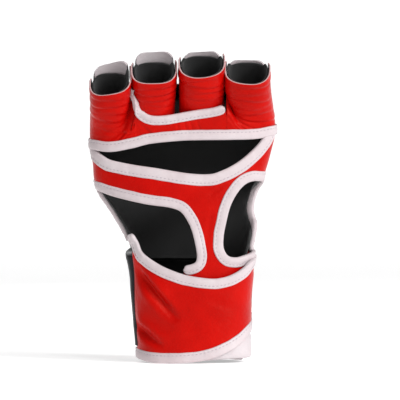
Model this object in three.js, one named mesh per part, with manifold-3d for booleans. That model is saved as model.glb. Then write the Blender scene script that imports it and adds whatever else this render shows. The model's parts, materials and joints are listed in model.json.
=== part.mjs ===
// A right-hand grappling glove with open fingers, standing on its cuff.
// Millimetres. The palm faces -Y, the thumb side is +X and the fingers point up +Z.
import * as THREE from 'three';
import { mergeVertices } from 'three/addons/utils/BufferGeometryUtils.js';
import Module from 'manifold-3d';

const wasm = await Module();
wasm.setup();

// ---- driving dimensions -------------------------------------------------

const GAP = 0.3; // clearance between touching pieces
const SEAM_Y = -4; // side seams, where the palm half meets the back half
const FAR = 120; // reach of a cutting tool past the glove

// Layers, each as inner and outer distance from the hand.
const LINING = [0, 1.2];
const LEATHER = [1.5, 3.1];
const TAPE = [1.4, 3.9];
const KNUCKLE_FOAM = [3.4, 13.8];
const KNUCKLE_COVER = [3.4, 15.3];
const LOOP_PATCH = [3.4, 4.1];
const STRAP_LINING = [4.2, 5.0];
const STRAP = [5.3, 6.9];
const STRAP_TAPE = [5.1, 7.5];

const TAPE_WIDTH = 6.4; // folded edge tape
const PALM_TAPE_WIDTH = 5.6; // the tape next to the finger loops

const COLOURS = {
  redLeather: { color: 0xc8170f, roughness: 0.42 },
  whiteLeather: { color: 0xe4dcdf, roughness: 0.48 },
  whiteTape: { color: 0xe6dfe2, roughness: 0.55 },
  blackLeather: { color: 0x17171a, roughness: 0.5 },
  blackLining: { color: 0x0d0d10, roughness: 0.95 },
  foam: { color: 0x8e9096, roughness: 0.9 },
  hookAndLoop: { color: 0x1b1b1e, roughness: 1.0 },
};

// The hand that the glove is shaped on: one section at each height.
// [height, centre x, half width, palm y, back y]
const SECTIONS = [
  [-8, 7.5, 27.2, -19, 18],
  [0, 7.4, 27.4, -19, 18],
  [36, 6.3, 29.2, -19, 17],
  [60, 5.8, 31.2, -20, 15],
  [76, 5.2, 36.0, -22, 13],
  [90, 2.6, 41.4, -23, 12],
  [104, -1.4, 46.4, -22.5, 11.4],
  [120, -0.8, 49.8, -21, 11],
  [136, 0.4, 52.6, -20.3, 9.8],
  [144, 0.6, 53.0, -20.8, 7.0],
  [152, 0.7, 53.0, -23.5, 1.6],
  [160, 0.7, 53.0, -29.0, -4.5],
  [172, 0.7, 53.0, -37.0, -13.5],
];
const SQUARENESS = 2.6; // superellipse power of a section
const FORM_SIDES = 28;
const FORM_ROWS = 14;

// Fingers, each on a hinge through the knuckle.
const CURL = THREE.MathUtils.degToRad(38); // rest tilt of the fingers toward the palm
const FINGER_DEPTH = 12.5; // half the outside depth of a finger loop
const LOOP_WALL = 1.4;
const FINGER_LINING_WALL = 0.9;
const KNUCKLE_RADIUS = 29; // everything nearer to the hinge stays with the hand
const HINGE_COVER = 2; // how far the hand's pieces reach past a hinge beside the knuckle
const FINGER_SIDES = 20;
const ROLL_SIDES = 36;
const FINGERS = [
  { name: 'little', x: -42.6, half: 12.1, hinge: 133, rim: 42.8, pad: 42 },
  { name: 'ring', x: -17.0, half: 12.7, hinge: 138, rim: 45.3, pad: 46 },
  { name: 'middle', x: 12.0, half: 13.4, hinge: 140, rim: 47.8, pad: 48 },
  { name: 'index', x: 41.0, half: 13.7, hinge: 138, rim: 45.3, pad: 45 },
];

const UNDERLAP_X = 6; // edge of the cuff's end that lies under the closing strap
const UNDERLAP_TOP = 46; // where that end meets the palm panel
const WRIST_SEAM_Z = 62; // seam between the back panel and the cuff
const TAB_LENGTH_X = -14; // free end of the closing tab on the back of the wrist
const TAB_Z = [9, 52];

// ---- solids ----------------------------------------------------------------

// Turns a closed three.js geometry into a solid that can be cut.
function solidOf(geometry) {
  const bare = geometry.clone();
  bare.deleteAttribute('normal');
  bare.deleteAttribute('uv');
  const merged = mergeVertices(bare, 1e-4);
  const mesh = new wasm.Mesh({
    numProp: 3,
    vertProperties: new Float32Array(merged.attributes.position.array),
    triVerts: new Uint32Array(merged.index.array),
  });
  return new wasm.Manifold(mesh);
}

// The main body of a solid, without the crumbs that a cut along a seam can leave.
function mainBody(solid) {
  return solid.decompose().reduce((best, body) => (body.volume() > best.volume() ? body : best));
}

function geometryOf(solid) {
  const mesh = mainBody(solid).getMesh();
  const geometry = new THREE.BufferGeometry();
  geometry.setAttribute('position', new THREE.BufferAttribute(new Float32Array(mesh.vertProperties), 3));
  geometry.setIndex(new THREE.BufferAttribute(new Uint32Array(mesh.triVerts), 1));
  geometry.computeVertexNormals();
  return geometry;
}

function meshOf(name, solid, colour) {
  const material = new THREE.MeshStandardMaterial({ ...COLOURS[colour], metalness: 0 });
  const mesh = new THREE.Mesh(geometryOf(solid), material);
  mesh.name = name;
  return mesh;
}

function union(solids) {
  return solids.reduce((sum, solid) => sum.add(solid));
}

function boxSolid(xRange, yRange, zRange) {
  const size = [xRange, yRange, zRange].map((range) => range[1] - range[0]);
  const box = new THREE.BoxGeometry(...size);
  box.translate(...[xRange, yRange, zRange].map((range) => (range[0] + range[1]) / 2));
  return solidOf(box);
}

// A cylinder along X.
function rollSolid(radius, xRange, y, z) {
  const roll = new THREE.CylinderGeometry(radius, radius, xRange[1] - xRange[0], ROLL_SIDES);
  roll.rotateZ(Math.PI / 2);
  roll.translate((xRange[0] + xRange[1]) / 2, y, z);
  return solidOf(roll);
}

// A flat outline in X and Z, drawn out along Y.
function prism(shape, yRange) {
  const geometry = new THREE.ExtrudeGeometry(shape, { depth: yRange[1] - yRange[0], bevelEnabled: false });
  geometry.rotateX(Math.PI / 2);
  geometry.translate(0, yRange[1], 0);
  return solidOf(geometry);
}

const squared = (c) => Math.sign(c) * Math.abs(c) ** (2 / SQUARENESS);

// Bends a unit cylinder along Z into a tube whose section comes from sectionAt(height).
function warpedCylinder(sides, rows, zRange, sectionAt) {
  const geometry = new THREE.CylinderGeometry(1, 1, 1, sides, rows);
  geometry.rotateX(Math.PI / 2);
  const position = geometry.attributes.position;
  for (let i = 0; i < position.count; i += 1) {
    const z = THREE.MathUtils.lerp(zRange[0], zRange[1], position.getZ(i) + 0.5);
    const section = sectionAt(z);
    const x = section.x + section.halfWidth * squared(position.getX(i));
    const y = section.y + section.halfDepth * squared(position.getY(i));
    position.setXYZ(i, x, y, z);
  }
  return solidOf(geometry);
}

// ---- the hand form and its layers --------------------------------------------

const sectionCurve = new THREE.CubicInterpolant(
  SECTIONS.map((row) => row[0]),
  SECTIONS.flatMap((row) => row.slice(1)),
  4,
);

function handSection(z, offset) {
  const [x, halfWidth, palmY, backY] = sectionCurve.evaluate(z);
  return {
    x,
    y: (palmY + backY) / 2,
    halfWidth: halfWidth + offset,
    halfDepth: (backY - palmY) / 2 + offset,
  };
}

const formCache = new Map();
function handForm(offset) {
  if (!formCache.has(offset)) {
    const range = [SECTIONS[0][0], SECTIONS.at(-1)[0]];
    const form = warpedCylinder(FORM_SIDES, FORM_ROWS, range, (z) => handSection(z, offset));
    formCache.set(offset, form);
  }
  return formCache.get(offset);
}

// Everything that stays with the hand when the fingers bend.
function handReach(inset) {
  const clear = KNUCKLE_RADIUS - GAP - inset;
  const pieces = FINGERS.map((finger, i) => {
    const left = i === 0 ? -FAR : (FINGERS[i - 1].x + FINGERS[i - 1].half + finger.x - finger.half) / 2;
    const next = FINGERS[i + 1];
    const right = next ? (finger.x + finger.half + next.x - next.half) / 2 : FAR;
    const below = boxSolid([left, right], [-FAR, FAR], [0, finger.hinge + HINGE_COVER]);
    return below.add(rollSolid(clear, [left, right], 0, finger.hinge));
  });
  return union(pieces);
}

const reach = handReach(0);
const floor = boxSolid([-FAR, FAR], [-FAR, FAR], [0, 2 * FAR]);

function layer([inner, outer]) {
  return handForm(outer).subtract(handForm(inner)).intersect(reach).intersect(floor);
}

const palmSide = [-FAR, SEAM_Y - GAP / 2];
const backSide = [SEAM_Y + GAP / 2, FAR];

// ---- seam and tape lines, as x and z -------------------------------------------

const line = (...points) => new THREE.SplineCurve(points.map(([x, z]) => new THREE.Vector2(x, z)));

const LINES = {
  upperTop: line([-25.6, 151.5], [-22, 146.6], [-14, 144.8], [3, 147.2], [25, 150]),
  upperBottom: line(
    [-62, 133], [-52, 131], [-41, 129], [-28.5, 131], [-16, 134.2], [8, 136], [42, 137], [62, 141],
  ),
  midTop: line(
    [-62, 126], [-53, 121.6], [-40, 117.3], [-15, 113], [9, 109.4], [22, 111], [35, 118.4], [45, 127.6],
    [50.5, 136],
  ),
  palmHole: line(
    [-60, 110], [-51, 107], [-38, 102.4], [-19, 97.8], [-5, 95.4], [2.6, 91.6], [6.6, 85], [10, 76],
    [12, 66], [11, 57],
  ),
  thumbPalm: line(
    [60, 112.5], [46, 111.4], [37, 110.6], [31, 103.8], [26.7, 94.8], [23.6, 84], [21.6, 75], [22.6, 66],
    [28.5, 60.4], [37, 62.4], [44, 70], [60, 74.5],
  ),
  thumbBack: line([60, 112.5], [46, 110], [40, 103], [38, 92], [40, 81], [46, 76], [60, 74.5]),
  strapTop: line(
    [-60, 72], [-36, 69.5], [-29, 64.5], [-17, 56], [-3, 51], [12, 47.2], [26, 48.4], [38, 56], [60, 72],
  ),
  strapBottom: line([-60, 7], [-28, 6], [-16, 3.3], [10, 3.6], [24, 7.4], [36, 13.4], [60, 30]),
};
const LINE_STEPS = 13;

// Outline corners beyond the glove, where a panel runs out round its side.
const PAST_SIDE_X = 62;
const PAST_TOP_Z = 170;
const PALM_SIDE_Z = 138; // top of the middle palm panel's outline at the thumb side
const UPPER_TOP_ENDS = [-29, 27.5]; // where the upper edge tape passes between the finger loops

// The outline of a tape laid along a line.
function tapeShape(curve, width) {
  const left = [];
  const right = [];
  for (let i = 0; i <= LINE_STEPS; i += 1) {
    const point = curve.getPointAt(i / LINE_STEPS);
    const along = curve.getTangentAt(i / LINE_STEPS);
    const across = new THREE.Vector2(-along.y, along.x).multiplyScalar(width / 2);
    left.push(point.clone().add(across));
    right.push(point.clone().sub(across));
  }
  return new THREE.Shape([...left, ...right.reverse()]);
}

function tapeCut(curve, width, side) {
  return prism(tapeShape(curve, width), side);
}

function shapeThrough(...parts) {
  const points = parts.flatMap((part) => (part instanceof THREE.Curve
    ? part.getSpacedPoints(LINE_STEPS)
    : [new THREE.Vector2(...part)]));
  return new THREE.Shape(points);
}

function reversed(curve) {
  return new THREE.SplineCurve([...curve.points].reverse());
}

function cutTapes(solid, lines, side, width = TAPE_WIDTH) {
  return lines.reduce((rest, curve) => rest.subtract(tapeCut(curve, width + 2 * GAP, side)), solid);
}

// ---- palm ------------------------------------------------------------------------

function palmStrapUpper() {
  const outline = shapeThrough(LINES.upperBottom, [PAST_SIDE_X, PAST_TOP_Z], [-PAST_SIDE_X, PAST_TOP_Z]);
  let strap = layer(LEATHER).intersect(prism(outline, palmSide));
  const [left, right] = UPPER_TOP_ENDS;
  const aboveTop = shapeThrough(LINES.upperTop, [right, PAST_TOP_Z], [left, PAST_TOP_Z]);
  strap = strap.subtract(prism(aboveTop, palmSide));
  strap = cutTapes(strap, [LINES.upperTop], palmSide, PALM_TAPE_WIDTH);
  return cutTapes(strap, [LINES.upperBottom], palmSide);
}

function palmPanelMid() {
  const outline = shapeThrough(
    LINES.midTop,
    [PAST_SIDE_X, PALM_SIDE_Z],
    LINES.thumbPalm,
    [PAST_SIDE_X, UNDERLAP_TOP],
    [UNDERLAP_X, UNDERLAP_TOP],
    reversed(LINES.palmHole),
  );
  const panel = layer(LEATHER).intersect(prism(outline, palmSide));
  return cutTapes(panel, [LINES.midTop, LINES.palmHole, LINES.thumbPalm, LINES.upperBottom], palmSide);
}

function palmTape(curve, over, width = TAPE_WIDTH) {
  const tape = layer(TAPE).intersect(tapeCut(curve, width, palmSide));
  return cutTapes(tape, over, palmSide);
}

const JOIN_OVERLAP = 0.1; // so that the two halves of the thumb tape make one solid

function thumbTape() {
  const front = tapeCut(LINES.thumbPalm, TAPE_WIDTH, [-FAR, SEAM_Y + JOIN_OVERLAP]);
  const back = tapeCut(LINES.thumbBack, TAPE_WIDTH, [SEAM_Y - JOIN_OVERLAP, FAR]);
  const tape = layer(TAPE).intersect(front.add(back));
  return cutTapes(tape, [LINES.midTop], palmSide);
}

// ---- back ------------------------------------------------------------------------

const BACK_EDGE_Y = -15;
const BACK_EDGE_Z = [69, 100];
const LINING_EDGE_Y = -13;
const LINING_LOW_Z = 0.4;

function thumbHole() {
  const front = prism(shapeThrough(LINES.thumbPalm), [-FAR, SEAM_Y]);
  const back = prism(shapeThrough(LINES.thumbBack), [SEAM_Y - 1, FAR]);
  return front.add(back);
}

function backEdgeTape() {
  const edge = boxSolid([-FAR, 0], [BACK_EDGE_Y, SEAM_Y - GAP], BACK_EDGE_Z);
  return layer(TAPE).intersect(edge);
}

function backPanel() {
  const above = boxSolid([-FAR, FAR], backSide, [WRIST_SEAM_Z, FAR * 2]);
  const panel = layer(LEATHER).intersect(above).subtract(thumbHole());
  return cutTapes(panel, [LINES.thumbBack], backSide);
}

function backLining() {
  const region = boxSolid([-FAR, FAR], [LINING_EDGE_Y, FAR], [LINING_LOW_Z, FAR * 2]);
  return layer(LINING).intersect(region).subtract(thumbHole());
}

const PAD_SIDE_X = 47;
const PAD_LOW_Z = 94;
const PAD_CORNER = 16;
const PAD_WALL = 1.2;

// The knuckle pad: straight sides and a rounded lower edge.
function knuckleOutline(inset) {
  const side = PAD_SIDE_X - inset;
  const low = PAD_LOW_Z + inset;
  const shape = new THREE.Shape();
  shape.moveTo(side, 2 * FAR);
  shape.lineTo(-side, 2 * FAR);
  shape.lineTo(-side, low + PAD_CORNER);
  shape.quadraticCurveTo(-side, low, -side + PAD_CORNER, low);
  shape.lineTo(side - PAD_CORNER, low);
  shape.quadraticCurveTo(side, low, side, low + PAD_CORNER);
  return shape;
}

function thumbClearance(inset) {
  const grown = TAPE_WIDTH + 2 * (GAP + inset);
  return tapeCut(LINES.thumbBack, grown, backSide).add(prism(shapeThrough(LINES.thumbBack), backSide));
}

const PAD_EDGE_Y = 2; // how far round the sides the pad reaches below the knuckles
const PAD_NOSE_Y = -12; // and above them
const KNUCKLE_LINE_Z = 136;

function knuckleBlock([inner, outer], inset) {
  const overBack = boxSolid([-FAR, FAR], [PAD_EDGE_Y, FAR], [0, 2 * FAR]);
  const overKnuckles = boxSolid([-FAR, FAR], [PAD_NOSE_Y, FAR], [KNUCKLE_LINE_Z, 2 * FAR]);
  return handForm(outer)
    .subtract(handForm(inner))
    .intersect(overBack.add(overKnuckles))
    .intersect(prism(knuckleOutline(inset), [-FAR, FAR]))
    .intersect(handReach(inset))
    .subtract(thumbClearance(inset));
}

function knuckleFoam() {
  return knuckleBlock(KNUCKLE_FOAM, PAD_WALL + GAP);
}

function knuckleCover() {
  const hollow = knuckleBlock([LEATHER[1], KNUCKLE_FOAM[1] + GAP], PAD_WALL);
  return knuckleBlock(KNUCKLE_COVER, 0).subtract(hollow);
}

// ---- cuff and closing strap -------------------------------------------------------

const CUFF_TAPE_HEIGHT = 6;

function cuffBack() {
  const region = boxSolid([-FAR, FAR], backSide, [CUFF_TAPE_HEIGHT + GAP, WRIST_SEAM_Z - GAP]);
  return layer(LEATHER).intersect(region);
}

function cuffTape() {
  const region = boxSolid([-FAR, FAR], backSide, [0, CUFF_TAPE_HEIGHT]);
  return layer([TAPE[0], LEATHER[1]]).intersect(region);
}

// The end of the cuff that lies under the closing strap on the palm side.
function cuffUnderlap() {
  const region = boxSolid([UNDERLAP_X, FAR], palmSide, [0, UNDERLAP_TOP - GAP]);
  return layer(LEATHER).intersect(region);
}

const PATCH_END_X = 30;
const LOOP_PATCH_EXTRA = 8; // the loop patch runs on past the tab's free end
const LOOP_PATCH_INSET = 3;
const HOOK_PATCH_INSET = 4;

function patchBox(startX, inset) {
  return boxSolid([startX, PATCH_END_X], [0, FAR], [TAB_Z[0] + inset, TAB_Z[1] - inset]);
}

function loopPatch() {
  return layer(LOOP_PATCH).intersect(patchBox(TAB_LENGTH_X - LOOP_PATCH_EXTRA, LOOP_PATCH_INSET));
}

function strapOutline() {
  return shapeThrough(LINES.strapTop, reversed(LINES.strapBottom));
}

function strapPanel() {
  const panel = layer(STRAP).intersect(prism(strapOutline(), palmSide));
  return cutTapes(panel, [LINES.strapTop, LINES.strapBottom], palmSide);
}

function strapLining() {
  return layer(STRAP_LINING).intersect(prism(strapOutline(), palmSide));
}

function strapTape(curve) {
  return layer(STRAP_TAPE).intersect(tapeCut(curve, TAPE_WIDTH, palmSide));
}

const tabBox = (inset) => boxSolid(
  [TAB_LENGTH_X + inset, FAR],
  [SEAM_Y + GAP / 2, FAR],
  [TAB_Z[0] + inset, TAB_Z[1] - inset],
);

function tabPanel() {
  return layer(STRAP).intersect(tabBox(TAPE_WIDTH / 2 + GAP));
}

function tabTape() {
  return layer(STRAP).intersect(tabBox(0)).subtract(tabBox(TAPE_WIDTH / 2));
}

function hookPatch() {
  return layer(STRAP_LINING).intersect(patchBox(TAB_LENGTH_X + LOOP_PATCH_INSET, HOOK_PATCH_INSET));
}

// ---- fingers -----------------------------------------------------------------------

const FINGER_BASE = 4; // start of a finger's solids before the knuckle is cleared
const LOOP_SEAM_Y = 5.6; // where the loop is sewn to the side of the pad
const PAD_TOP_Y = 23.5;
const PAD_TIP_Y = 14.5;
const PAD_BEVEL = 3;
const PAD_COVER_WALL = 1.2;
const PAD_CURVE_STEPS = 6;
const PAD_FALL = 16; // length over which a pad's outer face falls to its tip
const PAD_ROOT = -2; // start of a pad's block, under the knuckle
const FINGER_REACH = [-30, 30]; // sideways reach of the cutters in a finger's own frame
const BEHIND_HINGE = -20; // where those cutters start along the finger

function fingerTube(finger, inset, zRange) {
  const section = { x: 0, y: 0, halfWidth: finger.half - inset, halfDepth: FINGER_DEPTH - inset };
  return warpedCylinder(FINGER_SIDES, 1, zRange, () => section);
}

// A block with rounded edges whose outer face falls toward the fingertip.
function padBlock(finger, inset) {
  const tip = finger.pad - inset;
  const top = PAD_TOP_Y - inset;
  const shape = new THREE.Shape();
  shape.moveTo(PAD_ROOT, 0);
  shape.lineTo(tip - PAD_BEVEL, 0);
  shape.lineTo(tip - PAD_BEVEL, PAD_TIP_Y - PAD_BEVEL - inset);
  shape.quadraticCurveTo(tip - PAD_BEVEL, top - PAD_BEVEL, tip - PAD_FALL, top - PAD_BEVEL);
  shape.lineTo(PAD_ROOT, top - PAD_BEVEL);
  const depth = 2 * (finger.half - inset - PAD_BEVEL);
  const geometry = new THREE.ExtrudeGeometry(shape, {
    depth,
    curveSegments: PAD_CURVE_STEPS,
    bevelThickness: PAD_BEVEL,
    bevelSize: PAD_BEVEL,
    bevelSegments: PAD_CURVE_STEPS / 2,
  });
  geometry.translate(0, 0, -depth / 2);
  geometry.rotateY(-Math.PI / 2);
  return solidOf(geometry);
}

function fingerPieces(finger) {
  const knuckle = rollSolid(KNUCKLE_RADIUS + GAP, FINGER_REACH, 0, 0);
  const seam = boxSolid(FINGER_REACH, [-FAR, LOOP_SEAM_Y], [FINGER_BASE, FAR]);
  const aboveSeam = boxSolid(FINGER_REACH, [LOOP_SEAM_Y + GAP, FAR], [BEHIND_HINGE, FAR]);
  const liningInset = LOOP_WALL + GAP;
  const bore = fingerTube(finger, liningInset + FINGER_LINING_WALL, [0, FAR]);

  const loopOutside = fingerTube(finger, 0, [FINGER_BASE, finger.rim]);
  const loopInside = fingerTube(finger, LOOP_WALL, [0, FAR]);
  const loop = loopOutside.subtract(loopInside).intersect(seam).subtract(knuckle);
  const lining = fingerTube(finger, liningInset, [FINGER_BASE, finger.rim - 1])
    .subtract(bore)
    .subtract(knuckle);

  const underPad = fingerTube(finger, LOOP_WALL, [BEHIND_HINGE, FAR]);
  const foamRoom = padBlock(finger, PAD_COVER_WALL);
  const cover = padBlock(finger, 0)
    .intersect(aboveSeam)
    .subtract(foamRoom)
    .subtract(underPad)
    .subtract(knuckle);
  const foam = padBlock(finger, PAD_COVER_WALL + GAP)
    .intersect(boxSolid(FINGER_REACH, [LOOP_SEAM_Y + GAP + PAD_COVER_WALL, FAR], [BEHIND_HINGE, FAR]))
    .subtract(underPad)
    .subtract(knuckle);
  return { loop, lining, cover, foam };
}

function fingerGroup(finger) {
  const { loop, lining, cover, foam } = fingerPieces(finger);
  const group = new THREE.Group();
  group.position.set(finger.x, 0, finger.hinge);
  group.rotation.x = CURL;
  group.add(
    meshOf(`${finger.name}_loop`, loop, 'redLeather'),
    meshOf(`${finger.name}_lining`, lining, 'blackLining'),
    meshOf(`${finger.name}_pad_cover`, cover, 'whiteLeather'),
    meshOf(`${finger.name}_pad_foam`, foam, 'foam'),
  );
  return group;
}

// ---- assembly ------------------------------------------------------------------------

const glove = new THREE.Group();
glove.add(
  meshOf('back_panel', backPanel(), 'blackLeather'),
  meshOf('back_lining', backLining(), 'blackLining'),
  meshOf('back_edge_tape', backEdgeTape(), 'whiteTape'),
  meshOf('knuckle_pad_cover', knuckleCover(), 'whiteLeather'),
  meshOf('knuckle_pad_foam', knuckleFoam(), 'foam'),
  meshOf('palm_strap_upper', palmStrapUpper(), 'redLeather'),
  meshOf('upper_top_tape', palmTape(LINES.upperTop, [], PALM_TAPE_WIDTH), 'whiteTape'),
  meshOf('upper_bottom_tape', palmTape(LINES.upperBottom, []), 'whiteTape'),
  meshOf('palm_panel_mid', palmPanelMid(), 'redLeather'),
  meshOf('mid_top_tape', palmTape(LINES.midTop, [LINES.upperBottom]), 'whiteTape'),
  meshOf('palm_hole_tape', palmTape(LINES.palmHole, []), 'whiteTape'),
  meshOf('thumb_hole_tape', thumbTape(), 'whiteTape'),
  meshOf('cuff_back', cuffBack(), 'blackLeather'),
  meshOf('cuff_bottom_tape', cuffTape(), 'whiteTape'),
  meshOf('cuff_underlap', cuffUnderlap(), 'whiteLeather'),
  meshOf('loop_patch', loopPatch(), 'hookAndLoop'),
  meshOf('wrist_strap', strapPanel(), 'redLeather'),
  meshOf('wrist_strap_lining', strapLining(), 'blackLining'),
  meshOf('strap_top_tape', strapTape(LINES.strapTop), 'whiteTape'),
  meshOf('strap_bottom_tape', strapTape(LINES.strapBottom), 'whiteTape'),
  meshOf('tab_panel', tabPanel(), 'redLeather'),
  meshOf('tab_edge_tape', tabTape(), 'whiteTape'),
  meshOf('hook_patch', hookPatch(), 'hookAndLoop'),
);
FINGERS.forEach((finger) => glove.add(fingerGroup(finger)));

// The origin is the middle of the bottom of the bounding box.
const bounds = new THREE.Box3().setFromObject(glove, true);
const middle = bounds.getCenter(new THREE.Vector3());
glove.position.set(-middle.x, -middle.y, -bounds.min.z);

export default glove;
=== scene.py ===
"""The looks of a right-hand open-finger grappling glove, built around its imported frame.

Glove millimetres are used until a mesh is made: the palm faces -Y, the thumb side is +X,
the fingers point up +Z, and the knuckle hinges lie at y = 0.
"""

import json
import math

import bpy
import numpy as np
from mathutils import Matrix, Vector
from mathutils.geometry import delaunay_2d_cdt


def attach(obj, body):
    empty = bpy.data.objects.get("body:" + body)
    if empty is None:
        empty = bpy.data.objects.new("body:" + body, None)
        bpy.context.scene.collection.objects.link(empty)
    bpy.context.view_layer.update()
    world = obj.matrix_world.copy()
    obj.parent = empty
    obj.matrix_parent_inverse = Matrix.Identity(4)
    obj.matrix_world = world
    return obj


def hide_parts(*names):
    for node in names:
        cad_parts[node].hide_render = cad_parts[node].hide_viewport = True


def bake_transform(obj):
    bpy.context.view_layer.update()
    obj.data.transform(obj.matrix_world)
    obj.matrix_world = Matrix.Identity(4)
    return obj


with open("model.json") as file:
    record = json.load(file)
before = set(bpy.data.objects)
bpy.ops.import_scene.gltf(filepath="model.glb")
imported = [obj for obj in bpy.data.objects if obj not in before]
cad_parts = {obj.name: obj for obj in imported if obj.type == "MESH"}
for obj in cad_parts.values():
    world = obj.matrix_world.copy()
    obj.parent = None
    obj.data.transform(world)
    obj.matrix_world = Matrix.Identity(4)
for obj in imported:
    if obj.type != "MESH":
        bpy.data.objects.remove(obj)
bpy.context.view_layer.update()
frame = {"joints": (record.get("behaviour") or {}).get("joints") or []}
JOINTS = {joint["name"]: joint for joint in frame["joints"]}
MM = 0.001

# ---- driving dimensions, mm ------------------------------------------------

CURL = math.radians(38)  # rest tilt of the fingers toward the palm
MIDDLE_X = 12.0  # the middle finger's hinge in glove millimetres
SQUARENESS = 2.6  # superellipse power of the hand's sections

# Layers, as distance from the hand.
HAND_LINING = (0.1, 1.2)
LEATHER = (1.4, 3.0)
STRAP = (5.2, 6.8)
STRAP_LINING = (3.3, 4.1)
STRAP_ROOT = (4.2, 5.1)
CUFF_LAYER = (1.4, 2.9)
LOOP_PATCH = (3.0, 4.1)
HOOK_PATCH = (4.2, 5.2)
TAPE_SEAT = 0.1  # how far a tape's middle plane sinks into the leather under it
ROLL_DEPTH = 0.35  # how far a panel's outer face rolls down at its edge
ROLL_WIDTH = 0.6

TAPE_WIDTH = 6.2
TAPE_WRAP = 1.9  # how far a folded tape reaches behind the leather
TAPE_RISE = 0.85  # how far a folded tape stands above the leather
TAPE_STEP = 1.2  # spacing of a tape's rings
STITCH_PITCH = 2.4

WRIST_SEAM_Z = 62.0  # where the cuff meets the back of the hand
BACK_TOP_Z = 158.0
LINING_FOOT_Z = 5.0  # bottom of the cuff's back and of the lining
JOIN_LITTLE = -25.5  # where the little loop's leather meets the middle of the upper strap
JOIN_INDEX = 25.5
TUCK = 5.0  # how far the upper strap runs on under the outer loops
SIDE_WRAP = 7.0  # how far a palm piece runs on round the side of the hand
STRAP_END = 2.0  # how far round the right side the strap is sewn to the tab
TAB_END = -19.0  # the tab's free end, as arc length from the back's centre line

KNUCKLE = np.array(JOINTS["middle_knuckle"]["pos_m"]) / MM
SHIFT = np.array([KNUCKLE[0] - MIDDLE_X, KNUCKLE[1], 0.0])

# The hand inside the glove: height, centre x, half width, palm y, back y.
SECTIONS = np.array([
    [-8, 7.5, 27.2, -19, 18],
    [0, 7.4, 27.4, -19, 18],
    [36, 6.3, 29.2, -19, 17],
    [60, 5.8, 31.2, -20, 15],
    [76, 5.2, 36.0, -22, 13],
    [90, 2.6, 41.4, -23, 12],
    [104, -1.4, 46.4, -22.5, 11.4],
    [120, -0.8, 49.8, -21, 11],
    [136, 0.4, 52.6, -20.3, 9.8],
    [144, 0.6, 53.0, -20.8, 7.0],
    [152, 0.7, 53.0, -23.5, 1.6],
    [160, 0.7, 53.0, -29.0, -4.5],
    [172, 0.7, 53.0, -37.0, -13.5],
])


class Finger:
    """One finger section, with lengths measured along the finger from its knuckle hinge.

    half is its sleeve's half width, rim the height of its cut edge, rim_slope how much higher
    that edge is at the thumb side than in the middle, and pad the top of its pad. The sleeve
    leans toward the thumb by lean and widens by the share flare.
    """

    def __init__(self, name, half, rim, rim_slope, pad, lean, flare):
        hinge = np.array(JOINTS[f"{name}_knuckle"]["pos_m"]) / MM - SHIFT
        self.name = name
        self.body = f"{name}_finger"
        self.x = hinge[0]
        self.z = hinge[2]
        self.half = half
        self.rim = rim
        self.rim_slope = rim_slope
        self.pad = pad
        self.lean = lean
        self.flare = flare


FINGER_DEPTH = 12.5  # half the outside depth of a finger sleeve
FINGERS = [
    Finger("little", 12.1, 43.2, 4.6, 50.5, 0.5, 0.05),
    Finger("ring", 13.0, 45.0, 1.0, 52.5, 0.8, 0.06),
    Finger("middle", 13.5, 47.2, 1.2, 50.0, 0.1, 0.03),
    Finger("index", 13.7, 44.8, -0.4, 46.5, -1.8, 0.0),
]
LITTLE, RING, MIDDLE, INDEX = FINGERS


# ---- the hand's surface ------------------------------------------------------

def smoothstep(t):
    """A smooth step from 0 to 1 as t goes from 0 to 1."""
    t = np.clip(t, 0, 1)
    return t * t * (3 - 2 * t)


def smooth_columns(z, rows):
    """Catmull-Rom interpolation of each column of rows over its first column."""
    z = np.atleast_1d(np.asarray(z, float))
    knots = rows[:, 0]
    z = np.clip(z, knots[0], knots[-1])
    i = np.clip(np.searchsorted(knots, z, side="right") - 1, 0, len(knots) - 2)
    slopes = np.gradient(rows[:, 1:], knots, axis=0)
    span = (knots[i + 1] - knots[i])[:, None]
    t = (z[:, None] - knots[i][:, None]) / span
    a, b = rows[i, 1:], rows[i + 1, 1:]
    da, db = slopes[i] * span, slopes[i + 1] * span
    return (
        a * (1 + 2 * t) * (1 - t) ** 2
        + da * t * (1 - t) ** 2
        + b * t * t * (3 - 2 * t)
        + db * t * t * (t - 1)
    )


def squared(c):
    """A sine or cosine bent so that a circle becomes a superellipse."""
    return np.sign(c) * np.abs(c) ** (2 / SQUARENESS)


ROW_STEP = 1.5
ROWS = np.arange(SECTIONS[0, 0], SECTIONS[-1, 0], ROW_STEP)
TURN = np.linspace(-math.pi, math.pi, 721)


def arc_table():
    """For each row, the arc length from the palm's centre line at every turn."""
    half, palm, back = smooth_columns(ROWS, SECTIONS).T[1:]
    depth = (back - palm) / 2
    x = half[:, None] * squared(np.sin(TURN))[None]
    y = -depth[:, None] * squared(np.cos(TURN))[None]
    step = np.hypot(np.diff(x, axis=1), np.diff(y, axis=1))
    arc = np.concatenate([np.zeros((len(ROWS), 1)), np.cumsum(step, axis=1)], axis=1)
    return arc - arc[:, [len(TURN) // 2]]


ARCS = arc_table()


def by_row(z, lookup):
    """Linear interpolation between rows of a per-row lookup(row, mask)."""
    place = np.clip((z - ROWS[0]) / ROW_STEP, 0, len(ROWS) - 1.001)
    low = place.astype(int)
    out = np.zeros(len(z))
    for row in np.unique(low):
        mask = low == row
        part = place[mask] - row
        out[mask] = lookup(row, mask) * (1 - part) + lookup(row + 1, mask) * part
    return out


def turn_at(s, z):
    """The turn round a section at arc length s from the palm's centre line."""
    return by_row(z, lambda row, mask: np.interp(s[mask], ARCS[row], TURN))


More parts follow.
